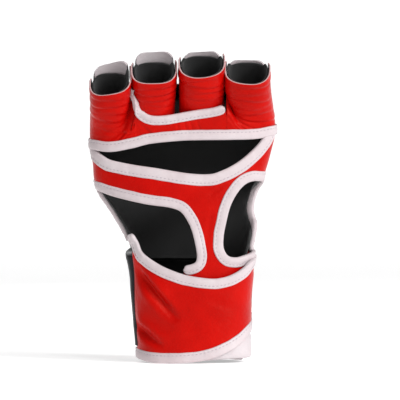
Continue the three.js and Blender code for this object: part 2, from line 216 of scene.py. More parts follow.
def skin(s, z, d):
    """Points d above the hand, at arc length s and height z. |s| may run on round the back."""
    s, z = np.broadcast_arrays(np.asarray(s, float), np.asarray(z, float))
    d = np.broadcast_to(np.asarray(d, float), s.shape)
    cx, half, palm, back = smooth_columns(z, SECTIONS).T
    turn = turn_at(s, z)
    x = cx + (half + d) * squared(np.sin(turn))
    y = (palm + back) / 2 - ((back - palm) / 2 + d) * squared(np.cos(turn))
    return np.stack([x, y, z], axis=1)


def side_arc(z):
    """Arc length from the palm's centre line to the thumb-side edge of the outline."""
    quarter = np.searchsorted(TURN, math.pi / 2)
    return by_row(np.asarray(z, float), lambda row, mask: ARCS[row, quarter])


def full_arc(z):
    """Arc length from the palm's centre line to the back's centre line."""
    return by_row(np.asarray(z, float), lambda row, mask: ARCS[row, -1])


def arc_of(x, z):
    """Arc length of a palm-side point seen at x. Past the outline it runs on round the side."""
    x, z = np.asarray(x, float), np.asarray(z, float)
    cx, half = smooth_columns(z, SECTIONS).T[:2]
    across = (x - cx) / half
    inside = np.clip(across, -1, 1)
    turn = np.arcsin(np.sign(inside) * np.abs(inside) ** (SQUARENESS / 2))
    edge = by_row(z, lambda row, mask: np.interp(turn[mask], TURN, ARCS[row]))
    return edge + (across - inside) * half


def back_skin(b, z, d):
    """Points d above the hand, at arc length b from the back's centre line, positive to +X."""
    b, z = np.broadcast_arrays(np.asarray(b, float), np.asarray(z, float))
    side = np.where(b < 0, -1.0, 1.0)
    return skin(side * (full_arc(z) - np.abs(b)), z, d)


def back_arc_of(x, z):
    """Arc length from the back's centre line of a point on the back at x, inside the outline."""
    x, z = np.asarray(x, float), np.asarray(z, float)
    cx, half = smooth_columns(z, SECTIONS).T[:2]
    across = np.clip((x - cx) / half, -1, 1)
    turn = math.pi - np.arcsin(np.abs(across) ** (SQUARENESS / 2))
    arc = by_row(z, lambda row, mask: np.interp(turn[mask], TURN, ARCS[row]))
    return np.sign(across) * (full_arc(z) - arc)


def travelled(path):
    """The distance from a path's start to each of its points."""
    return np.concatenate([[0], np.cumsum(np.linalg.norm(np.diff(path, axis=0), axis=1))])


def spline(points, step=TAPE_STEP, closed=False):
    """A Catmull-Rom curve through points, resampled at an even step."""
    points = np.asarray(points, float)
    if closed:
        points = np.vstack([points[-1], points, points[:2]])
    else:
        points = np.vstack([2 * points[0] - points[1], points, 2 * points[-1] - points[-2]])
    pieces = []
    for p0, p1, p2, p3 in zip(points, points[1:], points[2:], points[3:]):
        t = np.linspace(0, 1, 24, endpoint=False)[:, None]
        pieces.append(0.5 * (2 * p1 + (p2 - p0) * t + (2 * p0 - 5 * p1 + 4 * p2 - p3) * t * t
                             + (3 * p1 - p0 - 3 * p2 + p3) * t ** 3))
    dense = np.vstack([*pieces, points[-2][None]])
    along = travelled(dense)
    count = max(2, int(round(along[-1] / step)) + 1)
    even = np.linspace(0, along[-1], count)
    return np.stack([np.interp(even, along, dense[:, k]) for k in range(dense.shape[1])], axis=1)


# ---- meshes -------------------------------------------------------------------

def in_scene(name, data):
    """A new object in the scene, made from a mesh, a light or a camera."""
    thing = bpy.data.objects.new(name, data)
    bpy.context.scene.collection.objects.link(thing)
    return thing


def make_mesh(name, points, faces, materials, face_material=None):
    """A smooth-shaded object in the row frame, in metres, from points in glove millimetres."""
    mesh = bpy.data.meshes.new(name)
    points = np.asarray(points, float)
    mesh.from_pydata((points + SHIFT) * MM, [], [list(map(int, face)) for face in faces])
    for material in materials:
        mesh.materials.append(material)
    if face_material is not None:
        mesh.polygons.foreach_set("material_index", np.asarray(face_material, np.int32))
    mesh.polygons.foreach_set("use_smooth", [True] * len(mesh.polygons))
    mesh.update()
    return in_scene(name, mesh)


def inside_polygon(points, polygon):
    """Which points lie inside a closed outline."""
    x, y = points.T
    inside = np.zeros(len(points), bool)
    for (x0, y0), (x1, y1) in zip(polygon, np.roll(polygon, -1, axis=0)):
        crosses = (y0 > y) != (y1 > y)
        with np.errstate(divide="ignore", invalid="ignore"):
            at = (x1 - x0) * (y - y0) / (y1 - y0) + x0
        inside ^= crosses & (x < at)
    return inside


def edge_distance(points, polygon):
    """Distance of each point from a closed outline."""
    nearest = np.full(len(points), np.inf)
    for a, b in zip(polygon, np.roll(polygon, -1, axis=0)):
        run = b - a
        t = np.clip((points - a) @ run / max(run @ run, 1e-9), 0, 1)
        nearest = np.minimum(nearest, np.linalg.norm(points - a - t[:, None] * run, axis=1))
    return nearest


ROW_SHARE = 0.87  # height of a row of even triangles, as a share of their spacing
RIM_SHARE = 0.45  # how close to the outline a point may lie, as a share of the spacing


def flat_triangles(outline, spacing):
    """Triangles that fill an outline, with even points inside it."""
    low, high = outline.min(0), outline.max(0)
    xs = np.arange(low[0], high[0], spacing)
    ys = np.arange(low[1], high[1], spacing * ROW_SHARE)
    grid = np.array([(x + (k % 2) * spacing / 2, y) for k, y in enumerate(ys) for x in xs])
    grid = grid[inside_polygon(grid, outline)]
    grid = grid[edge_distance(grid, outline) > spacing * RIM_SHARE]
    points = [Vector(p) for p in np.vstack([outline, grid])]
    rim = [(i, (i + 1) % len(outline)) for i in range(len(outline))]
    verts, _, faces, _, _, _ = delaunay_2d_cdt(points, rim, [list(range(len(outline)))], 1, 1e-5)
    return np.array([v[:] for v in verts]), faces


def boundary_edges(faces):
    """The edges that only one face has, each as its two points in that face's order."""
    edges = {}
    for face in faces:
        for a, b in zip(face, list(face[1:]) + [face[0]]):
            edges[(a, b)] = True
    return [(a, b) for (a, b) in edges if (b, a) not in edges]


OUTSIDE, INSIDE, EDGE = 0, 1, 2  # which of a sheet's three materials a face takes


def thick_sheet(name, outer, inner, faces, materials, cut=None):
    """A closed sheet from matching outer and inner points. cut marks the points on a raw edge."""
    n = len(outer)
    top = [list(face) for face in faces]
    under = [[v + n for v in reversed(face)] for face in faces]
    rim = [[b, a, a + n, b + n] for a, b in boundary_edges(faces)]
    edges = [EDGE if cut is None or (cut[a] and cut[b]) else OUTSIDE for b, a, _, _ in rim]
    kinds = [OUTSIDE] * len(top) + [INSIDE] * len(under) + edges
    return make_mesh(name, np.vstack([outer, inner]), top + under + rim, materials, kinds)


def skin_panel(name, outline, layer, materials, relief=None, spacing=1.6, back=False):
    """A leather panel on the hand. outline is (arc, height), and relief(arc, z) moves its face.

    With back, arcs are measured from the back's centre line.
    """
    outline = np.asarray(outline, float)
    flat, faces = flat_triangles(outline, spacing)
    s, z = flat.T
    lift = relief(s, z) if relief else np.zeros(len(s))
    rolled = ROLL_DEPTH * np.exp(-(edge_distance(flat, outline) / ROLL_WIDTH) ** 2)
    place = back_skin if back else skin
    outer = place(s, z, layer[1] + lift - rolled)
    inner = place(s, z, layer[0] + np.minimum(lift, 0))
    if back:
        faces = [list(reversed(face)) for face in faces]
    return thick_sheet(name, outer, inner, faces, materials)


def palm_line(points, step=TAPE_STEP, d=0.0):
    """A curve through (x, z) points seen on a layer d above the palm, as (arc, height)."""
    x, z = spline(points, step).T
    cx, half = smooth_columns(z, SECTIONS).T[:2]
    return np.stack([arc_of(cx + (x - cx) * half / (half + d), z), z], axis=1)


def grid_faces(rows, columns, wrap=False):
    """Four-sided faces over rows of points. With wrap, each row closes on itself."""
    faces = []
    for r in range(rows - 1):
        for c in range(columns if wrap else columns - 1):
            d = (c + 1) % columns
            faces.append([r * columns + c, r * columns + d, (r + 1) * columns + d, (r + 1) * columns + c])
    return faces


# ---- folded tapes and their stitches ---------------------------------------------

def unit(v):
    """Vectors scaled to length 1."""
    return v / np.maximum(np.linalg.norm(v, axis=-1, keepdims=True), 1e-9)


TAPE_WOBBLE = 0.05  # how far a tape's sewn face wanders sideways
WOBBLE_RATE = 0.6
TAPE_PUCKER = 0.064  # how much its height swells between stitches, as a share
TAPE_RIPPLES = ((0.07, 7.3), (0.05, 4.1))  # slower swells: share of the height, and length
END_ROUND = 2.6  # length over which a tape's end is rounded
END_BREADTH = 0.2  # share of the breadth left at the very end

STITCH_ACROSS = 1.7  # the seam's distance from the sewn lip
STITCH_HEIGHT = 0.52  # the seam's height, as a share of the tape's rise
STITCH_LENGTH = 1.75
STITCH_RADIUS = 0.24
STITCH_SINK = 0.22  # how far a stitch's ends go down into the tape
STITCH_SIDES = 6
STITCH_SWELL = ((-1.0, 0.35), (-0.6, 0.95), (0.0, 1.1), (0.6, 0.95), (1.0, 0.35))  # place, thickness
THREAD = 1  # the thread's place in a tape's materials


def tape_profile(width, wrap):
    """The closed section of a tape folded over a leather edge: (across, height) points.

    The fold's nose is at -width / 2 and the sewn lip at +width / 2. wrap is how deep it
    reaches behind the leather.
    """
    w = width / 2
    rise = TAPE_RISE
    return np.array([
        (w, 0.05), (w - 0.25, rise * 0.66), (w - 0.9, rise * 0.84), (w - 1.7, rise * 0.48),
        (w - 2.6, rise * 0.94), (0.0, rise * 1.02), (-w * 0.55, rise * 1.04), (-w * 0.88, rise * 0.78),
        (-w, 0.0), (-w * 0.98, -wrap * 0.55), (-w * 0.8, -wrap), (0.0, -wrap), (w * 0.6, -wrap),
        (w * 0.6, -0.4 * wrap), (w - 0.4, -0.2),
    ])


def tape_mesh(name, path, normals, seed, width=TAPE_WIDTH, wrap=TAPE_WRAP, closed=False, taper=END_ROUND):
    """A folded tape swept along path. Its nose is on the left of the direction of travel.

    It narrows to nothing over taper at its start.
    """
    if closed:
        tangent = unit(np.roll(path, -1, axis=0) - np.roll(path, 1, axis=0))
    else:
        tangent = unit(np.gradient(path, axis=0))
    normals = unit(normals - (normals * tangent).sum(1, keepdims=True) * tangent)
    across = np.cross(tangent, normals)
    profile = tape_profile(width, wrap)
    raised = profile[:, 1] > 0
    along = travelled(path)
    phases = (np.random.default_rng(seed).uniform(0, 6), 0.0)
    swell = 1 + TAPE_PUCKER * np.cos(along * 2 * math.pi / STITCH_PITCH)
    for (share, length), phase in zip(TAPE_RIPPLES, phases):
        swell += share * np.sin(along * 2 * math.pi / length + phase)
    rings = []
    for i, (point, side, up) in enumerate(zip(path, across, normals)):
        height = profile[:, 1] * np.where(raised, swell[i], 1)
        wobble = TAPE_WOBBLE * math.sin(along[i] * WOBBLE_RATE + seed)
        to_end = 1.0 if closed else min(along[i] / taper, (along[-1] - along[i]) / END_ROUND, 1.0)
        narrow = math.sqrt(max(END_BREADTH ** 2, 1 - (1 - to_end) ** 2))
        breadth = (profile[:, 0] + wobble * raised) * narrow
        rings.append(point + np.outer(breadth, side) + np.outer(height, up))
    count = len(profile)
    faces = [list(reversed(face)) for face in grid_faces(len(path), count, wrap=True)]
    last = (len(path) - 1) * count
    if closed:
        faces += [[last + (k + 1) % count, last + k, k, (k + 1) % count] for k in range(count)]
    else:
        faces += [list(range(count)), [last + k for k in reversed(range(count))]]
    seam = path + across * (width / 2 - STITCH_ACROSS) + normals * (TAPE_RISE * STITCH_HEIGHT)
    points, thread_faces = add_stitches(np.vstack(rings), seam, normals)
    kinds = [OUTSIDE] * len(faces) + [THREAD] * len(thread_faces)
    return make_mesh(name, points, faces + thread_faces, [WHITE_TAPE, WHITE_THREAD], kinds)


def add_stitches(points, seam, normals):
    """Adds a row of thread stitches along a seam to a tape's points, and gives their faces."""
    along = travelled(seam)
    tangent = unit(np.gradient(seam, axis=0))
    ring = [(math.cos(a), math.sin(a)) for a in np.arange(STITCH_SIDES) * 2 * math.pi / STITCH_SIDES]
    last = (len(STITCH_SWELL) - 1) * STITCH_SIDES
    stitch = grid_faces(len(STITCH_SWELL), STITCH_SIDES, wrap=True)
    stitch += [list(reversed(range(STITCH_SIDES))), list(range(last, last + STITCH_SIDES))]
    thread_points, thread_faces = [], []
    for start in np.arange(STITCH_PITCH / 2, along[-1] - STITCH_PITCH / 2, STITCH_PITCH):
        base = len(points) + len(thread_points)
        centre, run, up = (np.array([np.interp(start, along, values[:, k]) for k in range(3)])
                           for values in (seam, tangent, normals))
        run, up = unit(run), unit(up)
        side = np.cross(run, up)
        for place, thickness in STITCH_SWELL:
            middle = centre + run * place * STITCH_LENGTH / 2 - up * STITCH_SINK * place ** 2
            thread_points += [middle + (side * c + up * s) * STITCH_RADIUS * thickness for c, s in ring]
        thread_faces += [[base + v for v in face] for face in stitch]
    return np.vstack([points, thread_points]), thread_faces


def surface_path(line, d):
    """A path and its normals at height d over the hand, along (arc, height) points."""
    s, z = line.T
    path = skin(s, z, d)
    ds = skin(s + 0.5, z, d) - skin(s - 0.5, z, d)
    dz = skin(s, z + 0.5, d) - skin(s, z - 0.5, d)
    return path, unit(np.cross(ds, dz))


def on_hand(piece, slot, *nodes):
    """Fixes a piece to the hand and hides the CAD nodes that it replaces. slot is not used."""
    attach(piece, "hand")
    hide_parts(*nodes)


def palm_tape(name, node, line, seed, raised=0.0, **options):
    """A tape on the palm leather along (arc, height) points."""
    path, normals = surface_path(line, LEATHER[1] - TAPE_SEAT + raised)
    on_hand(tape_mesh(name, path, normals, seed, **options), "white_tape", node)


# ---- materials ---------------------------------------------------------------------

GRAIN_SMOOTH = 0.35  # how softly grain cells run into each other
DYE_PATCH = 22.0  # sizes of the leather's uneven dye, gloss, surface and pebbles, mm
GLOSS_PATCH = 3.0
UNEVEN_PATCH = 2.6
PEBBLE = 0.75
UNEVEN_DEPTH = 0.22
GLOSS_RANGE = (-0.09, 0.12)  # how far the roughness strays
LEATHER_SPECULAR = 0.22
FIBRE = 0.5  # size of the fibres on a cut edge
TUFT = 0.55  # size of the pile's tufts
TWIST = 0.3  # size of the sewing thread's strands


def new_material(name, roughness, sheen=0.0):
    """A material, its node tree and its main shader."""
    material = bpy.data.materials.new(name)
    material.use_nodes = True
    shader = material.node_tree.nodes["Principled BSDF"]
    shader.inputs["Roughness"].default_value = roughness
    shader.inputs["Sheen Weight"].default_value = sheen
    return material, material.node_tree, shader


def add_node(tree, kind, **settings):
    """A new node, with its inputs and properties set by name."""
    node = tree.nodes.new(kind)
    for key, value in settings.items():
        if key in node.inputs:
            node.inputs[key].default_value = value
        else:
            setattr(node, key, value)
    return node


def millimetres(tree):
    """Object coordinates in millimetres."""
    place = add_node(tree, "ShaderNodeTexCoord")
    scale = add_node(tree, "ShaderNodeMapping", Scale=(1 / MM, 1 / MM, 1 / MM))
    tree.links.new(place.outputs["Object"], scale.inputs["Vector"])
    return scale.outputs["Vector"]


def noise(tree, vector, size, detail=2.0):
    """Noise whose features are about size millimetres across."""
    node = add_node(tree, "ShaderNodeTexNoise", Scale=1 / size, Detail=detail)
    tree.links.new(vector, node.inputs["Vector"])
    return node.outputs["Fac"]


def cells(tree, vector, size):
    """Rounded grain cells about size millimetres across."""
    node = add_node(tree, "ShaderNodeTexVoronoi", Scale=1 / size, feature="SMOOTH_F1",
                    Smoothness=GRAIN_SMOOTH)
    tree.links.new(vector, node.inputs["Vector"])
    return node.outputs["Distance"]


def ramp(tree, fac, stops):
    """Maps a 0 to 1 value onto colours at (position, colour) stops."""
    node = add_node(tree, "ShaderNodeValToRGB")
    elements = node.color_ramp.elements
    while len(elements) < len(stops):
        elements.new(0.5)
    for element, (position, colour) in zip(elements, stops):
        element.position = position
        element.color = (*colour, 1)
    tree.links.new(fac, node.inputs["Fac"])
    return node.outputs["Color"]


def spread(tree, fac, low, high):
    """Maps a 0 to 1 value onto low to high."""
    node = add_node(tree, "ShaderNodeMapRange")
    node.inputs["To Min"].default_value = low
    node.inputs["To Max"].default_value = high
    tree.links.new(fac, node.inputs["Value"])
    return node.outputs["Result"]


def bump(tree, height, depth, under=None):
    """A bump whose height value of 1 is depth millimetres."""
    node = add_node(tree, "ShaderNodeBump", Strength=1.0, Distance=depth * MM)
    tree.links.new(height, node.inputs["Height"])
    if under is not None:
        tree.links.new(under, node.inputs["Normal"])
    return node.outputs["Normal"]


def leather(name, dark, base, light, roughness, grain=0.10, tint=(1, 1, 1)):
    """Smooth full-grain leather: fine pebbled grain, uneven dye and gloss."""
    material, tree, shader = new_material(name, roughness)
    shader.inputs["Specular Tint"].default_value = (*tint, 1)
    shader.inputs["Specular IOR Level"].default_value = LEATHER_SPECULAR
    at = millimetres(tree)
    dye = ramp(tree, noise(tree, at, DYE_PATCH, 3.0), [(0.3, dark), (0.5, base), (0.72, light)])
    gloss = spread(tree, noise(tree, at, GLOSS_PATCH, 3.0), *(roughness + stray for stray in GLOSS_RANGE))
    uneven = bump(tree, noise(tree, at, UNEVEN_PATCH, 3.0), UNEVEN_DEPTH)
    tree.links.new(dye, shader.inputs["Base Color"])
    tree.links.new(gloss, shader.inputs["Roughness"])
    tree.links.new(bump(tree, cells(tree, at, PEBBLE), grain, uneven), shader.inputs["Normal"])
    return material


def woven(name, dark, light, pitch, depth):
    """A plain weave: two crossing sets of threads."""
    material, tree, shader = new_material(name, 0.92, sheen=0.15)
    at = millimetres(tree)
    link = tree.links.new
    threads = []
    for direction in ("X", "Z"):
        wave = add_node(tree, "ShaderNodeTexWave", Scale=math.pi / (10 * pitch), Distortion=0.4,
                        bands_direction=direction)
        link(at, wave.inputs["Vector"])
        threads.append(wave.outputs["Fac"])
    over = add_node(tree, "ShaderNodeMath", operation="MULTIPLY")
    link(threads[0], over.inputs[0])
    link(threads[1], over.inputs[1])
    link(ramp(tree, over.outputs[0], [(0.1, dark), (0.9, light)]), shader.inputs["Base Color"])
    link(bump(tree, over.outputs[0], depth), shader.inputs["Normal"])
    return material


def raw_edge(name):
    """The cut edge of leather: pinkish-white fibres, a little stained by the dye."""
    material, tree, shader = new_material(name, 0.9)
    at = millimetres(tree)
    fibres = noise(tree, at, FIBRE, 4.0)
    tree.links.new(ramp(tree, fibres, [(0.35, (0.46, 0.24, 0.24)), (0.6, (0.60, 0.42, 0.42))]),
                   shader.inputs["Base Color"])
    tree.links.new(bump(tree, fibres, 0.12), shader.inputs["Normal"])
    return material


def pile(name, base, depth):
    """Hook-and-loop: a dense, matt, uneven pile."""
    material, tree, shader = new_material(name, 0.97, sheen=0.5)
    at = millimetres(tree)
    tuft = cells(tree, at, TUFT)
    lighter = tuple(4 * c for c in base)
    tree.links.new(ramp(tree, tuft, [(0.1, lighter), (0.7, base)]), shader.inputs["Base Color"])
    tree.links.new(bump(tree, tuft, depth), shader.inputs["Normal"])
    return material


def thread(name, colour):
    """Twisted sewing thread."""
    material, tree, shader = new_material(name, 0.6, sheen=0.2)
    at = millimetres(tree)
    twist = noise(tree, at, TWIST, 1.0)
    shade = tuple(0.8 * c for c in colour)
    tree.links.new(ramp(tree, twist, [(0.3, shade), (0.7, colour)]), shader.inputs["Base Color"])
    tree.links.new(bump(tree, twist, 0.08), shader.inputs["Normal"])
    return material


RED = leather("red_leather", (0.40, 0.0015, 0.001), (0.46, 0.002, 0.0012), (0.52, 0.003, 0.0015), 0.34,
              tint=(1.0, 0.34, 0.24))
WHITE = leather("white_leather", (0.50, 0.44, 0.455), (0.56, 0.50, 0.515), (0.61, 0.56, 0.575), 0.46)
WHITE_TAPE = leather("white_tape", (0.51, 0.44, 0.455), (0.57, 0.495, 0.51), (0.62, 0.555, 0.57), 0.5,
                     grain=0.07)
BLACK = leather("black_leather", (0.006, 0.006, 0.007), (0.010, 0.010, 0.011), (0.018, 0.017, 0.018), 0.5,
                tint=(0.45, 0.45, 0.47))
LINING = woven("black_lining", (0.003, 0.003, 0.003), (0.016, 0.016, 0.017), 0.55, 0.16)
CUT_EDGE = raw_edge("cut_edge")
HOOKS = pile("hook_and_loop", (0.010, 0.010, 0.011), 0.5)
WHITE_THREAD = thread("white_thread", (0.44, 0.36, 0.40))


# ---- the outlines seen on the palm, as (x, z) -------------------------------------------

UPPER_TOP = [(-25.4, 155.5), (-24.5, 151.2), (-22.8, 147.8), (-19.6, 145.6), (-15.5, 144.6), (-10, 144.7),
             (-4, 145.6), (3.3, 147.0), (11, 148.3), (19, 149.6), (24.6, 151.6)]
UPPER_BOTTOM = [(-66, 134), (-54.3, 131.4), (-41, 129), (-28.5, 131), (-17.7, 133.8), (-1, 135.6), (11, 136),
                (27, 136.2), (42.3, 136.8), (55.5, 139.8), (66, 142)]
MID_TOP = [(-66, 127), (-58, 127.4), (-52.8, 126.4), (-48.4, 122.8), (-44.4, 119.6), (-40, 117.6),
           (-27, 114.8), (-15.3, 113), (3.3, 109.8), (16, 109.3), (23.7, 111.6), (32, 116), (38.7, 121.2),
           (44.7, 127.2), (48.6, 132.4), (52.5, 139.5)]
PALM_HOLE = [(-66, 111), (-51.3, 107), (-38, 102.3), (-19.5, 97.8), (-5.7, 95.7), (1.5, 92.6), (6.3, 85.8),
             (9.3, 78), (11.4, 67.2), (11.4, 61), (9.4, 57.6), (6, 56), (1.6, 55.2)]
THUMB_PALM = [(47, 111.2), (40.5, 111.6), (34.6, 109.4), (29.2, 103.6), (24.8, 94.8), (22.2, 84),
              (20.8, 75.6), (21.0, 67.4), (24.6, 61.4), (31, 60.0), (36.5, 62.2), (41.2, 67.2)]
THUMB_BACK = [(41, 81), (38.5, 92), (41, 103), (46, 110)]
STRAP_TOP = [(-34.6, 76.5), (-31.2, 71), (-26.6, 65), (-19.8, 59.4), (-11, 54.4), (2, 49.8), (16.5, 47.6),
             (24.3, 48), (31.6, 50.2), (38, 54), (42.5, 58.6), (50, 64)]
STRAP_BOTTOM = [(-30.5, 6.6), (-22, 4.2), (-14, 3.3), (0, 3.4), (12, 4.6), (22, 7.6), (31, 12), (37, 16.6),
                (42.5, 23), (50, 34)]


def right_edge(heights):
    """The palm pieces' edge on the thumb side, as (arc, height)."""
    return np.stack([side_arc(heights) + SIDE_WRAP, np.asarray(heights)], axis=1)


def limited(line):
    """Keeps a line within the part of the side that the palm pieces reach."""
    s, z = line.T
    edge = side_arc(z) + SIDE_WRAP
    return line[np.abs(s) <= edge]


# ---- palm ------------------------------------------------------------------------------------

def soft_relief(seed, size, depth):
    """A smooth uneven relief over (arc, height), in mm."""
    rng = np.random.default_rng(seed)
    waves = [(rng.uniform(0.6, 1.6) / size, rng.uniform(0, math.pi), rng.uniform(0, 6.3)) for _ in range(7)]

    def relief(s, z):
        total = np.zeros(len(s))
        for k, angle, phase in waves:
            total += np.sin(2 * math.pi * k * (s * math.cos(angle) + z * math.sin(angle)) + phase)
        return depth * total / len(waves)

    return relief


def crease(a, b, depth, width):
    """A straight crease on the palm from (x, z) point a to b, deepest in the middle."""
    ends = np.array([a, b], float)
    arcs = arc_of(ends[:, 0], ends[:, 1])
    return fold((arcs[0], ends[0, 1]), (arcs[1], ends[1, 1]), depth, width)


def fold(a, b, depth, width):
    """A straight fold between two points of any flat pattern."""
    ends = np.array([a, b], float)
    run = ends[1] - ends[0]
    length = np.hypot(*run)
    run = run / length

    def relief(s, z):
        away = np.stack([s, z], axis=1) - ends[0]
        along = away @ run / length
        off = away @ np.array([-run[1], run[0]])
        fade = np.clip(np.sin(math.pi * np.clip(along, 0, 1)), 0, 1) ** 0.7
        return depth * fade * (0.45 * np.exp(-((off - 1.5 * width) / (1.3 * width)) ** 2)
                               - np.exp(-(off / width) ** 2)
                               + 0.3 * np.exp(-((off + 1.5 * width) / (1.2 * width)) ** 2))

    return relief


def together(*reliefs):
    """The sum of several reliefs."""
    return lambda s, z: sum(relief(s, z) for relief in reliefs)


LOOP = [RED, LINING, CUT_EDGE]  # materials of a sheet's outer face, inner face and edge
PANEL = [RED, LINING, RED]
BLACK_PANEL = [BLACK, LINING, BLACK]
WHITE_PANEL = [WHITE, LINING, WHITE]
CLOTH = [LINING] * 3
FASTENER = [HOOKS] * 3

UPPER_MIDDLE_Z = 140.0  # a height halfway up the upper strap
TUCK_DEPTH = 1.4  # how far its ends sink under the outer loops


def upper_strap():
    """The narrow strap across the palm under the middle fingers."""
    top, bottom = palm_line(UPPER_TOP), palm_line(UPPER_BOTTOM)
    low, high = arc_of([JOIN_LITTLE - TUCK, JOIN_INDEX + TUCK], [UPPER_MIDDLE_Z] * 2)
    bottom = bottom[(bottom[:, 0] > low) & (bottom[:, 0] < high)]
    outline = np.vstack([bottom, top[::-1]])
    gathers = [crease((x, 146), (x + 2.5, 137), 0.35, 0.7) for x in (-3.5, 1.0, 4.5, 8.5)]

    def tucked(s, z):
        """Its ends go down under the loops."""
        past = np.maximum(s - arc_of(JOIN_INDEX + 0 * s, z), arc_of(JOIN_LITTLE + 0 * s, z) - s)
        return -TUCK_DEPTH * smoothstep((past - 1.2) / 0.9)

    relief = together(soft_relief(3, 16, 0.25), crease((-24, 143), (-14, 134), 0.5, 0.9), tucked, *gathers)
    piece = skin_panel("upper_strap_leather", outline, LEATHER, PANEL, relief, 0.8)
    on_hand(piece, "red_leather", "palm_strap_upper")


TO_STRAP_RISE = 3.4  # how far the palm leather swells at the strap


def to_strap(s, z):
    """The palm leather swells at its lower right to meet the strap."""
    return TO_STRAP_RISE * smoothstep((s - side_arc(z) + 12) / 12) * smoothstep((70 - z) / 9)


def mid_panel():
    """The broad palm panel, which runs from the upper tape round the thumb hole to under the strap."""
    top = limited(palm_line(MID_TOP))
    hole = limited(palm_line(PALM_HOLE))
    thumb = palm_line(THUMB_PALM)
    edge_high = right_edge([138.0, 126.0, 113.0])
    edge_low = right_edge([66.0, 56.0, 44.0])
    low = palm_line([(44, 44), (20, 44), (1.6, 44)])
    outline = np.vstack([top, edge_high, thumb, edge_low, low[1:-1], hole[::-1]])
    relief = together(
        to_strap,
        soft_relief(5, 22, 0.35),
        crease((28, 110), (14, 98), 0.5, 1.2),
        crease((17, 92), (13, 70), 0.45, 1.1),
        crease((24, 104), (8, 100), 0.3, 0.9),
        crease((19, 80), (18, 62), 0.35, 0.9),
    )
    piece = skin_panel("mid_palm_leather", outline, LEATHER, PANEL, relief, 1.3)
    on_hand(piece, "red_leather", "palm_panel_mid")


def palm_tapes():
    """The tapes along the edges of the palm's two straps, each with its nose over the edge."""
    upper = limited(palm_line(UPPER_BOTTOM))[::-1]
    hole = limited(palm_line(PALM_HOLE))[::-1]
    palm_tape("upper_bottom_edge_tape", "upper_bottom_tape", upper, 2, raised=0.45)
    palm_tape("mid_top_edge_tape", "mid_top_tape", limited(palm_line(MID_TOP)), 3, width=7.0, wrap=2.3)
    palm_tape("palm_hole_edge_tape", "palm_hole_tape", hole, 4, width=6.0)


THUMB_STEP = 3.0  # spacing of the points that the thumb hole's ring is drawn through


def thumb_tape():
    """One closed ring of tape: down the palm side of the hole and up its back side."""
    palm = palm_line(THUMB_PALM, THUMB_STEP)
    back = spline(THUMB_BACK, THUMB_STEP)
    back = np.stack([full_arc(back[:, 1]) - back_arc_of(back[:, 0], back[:, 1]), back[:, 1]], axis=1)
    ring = spline(np.vstack([palm, back]), closed=True)[:-1]
    palm_tape("thumb_hole_edge_tape", "thumb_hole_tape", ring, 5, raised=to_strap(*ring.T), closed=True)


# ---- finger sleeves ----------------------------------------------------------------------------

UPPER_BOTTOM_Z = 135.0  # height of the upper strap's lower edge
RIM_DIP = 6.0  # how far the rim's palm side is cut below its corners
SEAM_TURN = math.radians(112)  # turn round a sleeve at which it is sewn to the pad


def sleeve_turns(finger, shares, limit):
    """Turns round a sleeve that share its outline evenly, from -limit to limit."""
    turns = np.linspace(-limit, limit, 361)
    x = finger.half * squared(np.sin(turns))
    y = -FINGER_DEPTH * squared(np.cos(turns))
    arc = np.concatenate([[0], np.cumsum(np.hypot(np.diff(x), np.diff(y)))])
    return np.interp((np.asarray(shares) + 1) / 2 * arc[-1], arc, turns)


FLARE_FROM = 26.0  # where a sleeve starts to widen, along the finger
FLARE_LENGTH = 22.0
LEAN_FROM = 12.0  # where it starts to lean
LEAN_LENGTH = 30.0


def from_finger(finger, x, y, l):
    """Glove points from a finger's own across, back and along values."""
    widened = x * (1 + finger.flare * smoothstep((l - FLARE_FROM) / FLARE_LENGTH))
    return np.stack([
        finger.x + widened + finger.lean * smoothstep((l - LEAN_FROM) / LEAN_LENGTH),
        y * math.cos(CURL) - l * math.sin(CURL),
        finger.z + y * math.sin(CURL) + l * math.cos(CURL),
    ], axis=-1)


def sleeve(finger, shares, l, d, limit=SEAM_TURN):
    """Points on a finger sleeve at shares of its outline and l along it, d outside it."""
    turn = sleeve_turns(finger, shares, limit)
    x = (finger.half + d) * squared(np.sin(turn))
    y = -(FINGER_DEPTH + d) * squared(np.cos(turn))
    return from_finger(finger, x, y, l)


def finger_creases(seed, count, low, high):
    """Cross creases in a finger's leather, uneven in place, reach and depth."""
    rng = np.random.default_rng(seed)
    lines = []
    for k in range(count):
        l = low + (high - low) * (k + 0.5) / count + rng.uniform(-0.7, 0.7)
        lines.append((l, rng.uniform(-2.6, 2.6), rng.uniform(-0.5, 0.5), rng.uniform(0.4, 0.85),
                      rng.uniform(0.22, 0.55), rng.uniform(0, 6.3)))

    def relief(u, l):
        total = np.zeros(np.shape(u))
        for middle, slope, centre, reach, depth, phase in lines:
            off = l - middle - slope * u - 0.9 * np.sin(4 * u + phase)
            fade = np.exp(-((u - centre) / reach) ** 4)
            total += depth * fade * (0.6 * np.exp(-((off - 2.0) / 1.5) ** 2) - np.exp(-(off / 0.95) ** 2))
        return total

    return relief


RIM_CLEAR = 1.1  # how far the sleeve's lining stays below the rim
LINING_LOW = 22.0  # where the sleeve's lining starts
LINING_WALL = (-1.5, -2.4)  # its faces, as distance from the sleeve
SLEEVE_WALL = 0.8  # thickness of a loop's leather
WEB_HOLD = 0.5  # how long the leather beside the web stays on the palm before it joins the sleeve


def rim_of(finger, u):
    """Length along the finger of its loop's cut rim, dipping on the palm side."""
    corner = np.abs(u) ** 2.4 - 0.45 * smoothstep((np.abs(u) - 0.8) / 0.2)
    return finger.rim + finger.rim_slope * u + RIM_DIP * corner + 0.25 * np.sin(7 * u + finger.x)


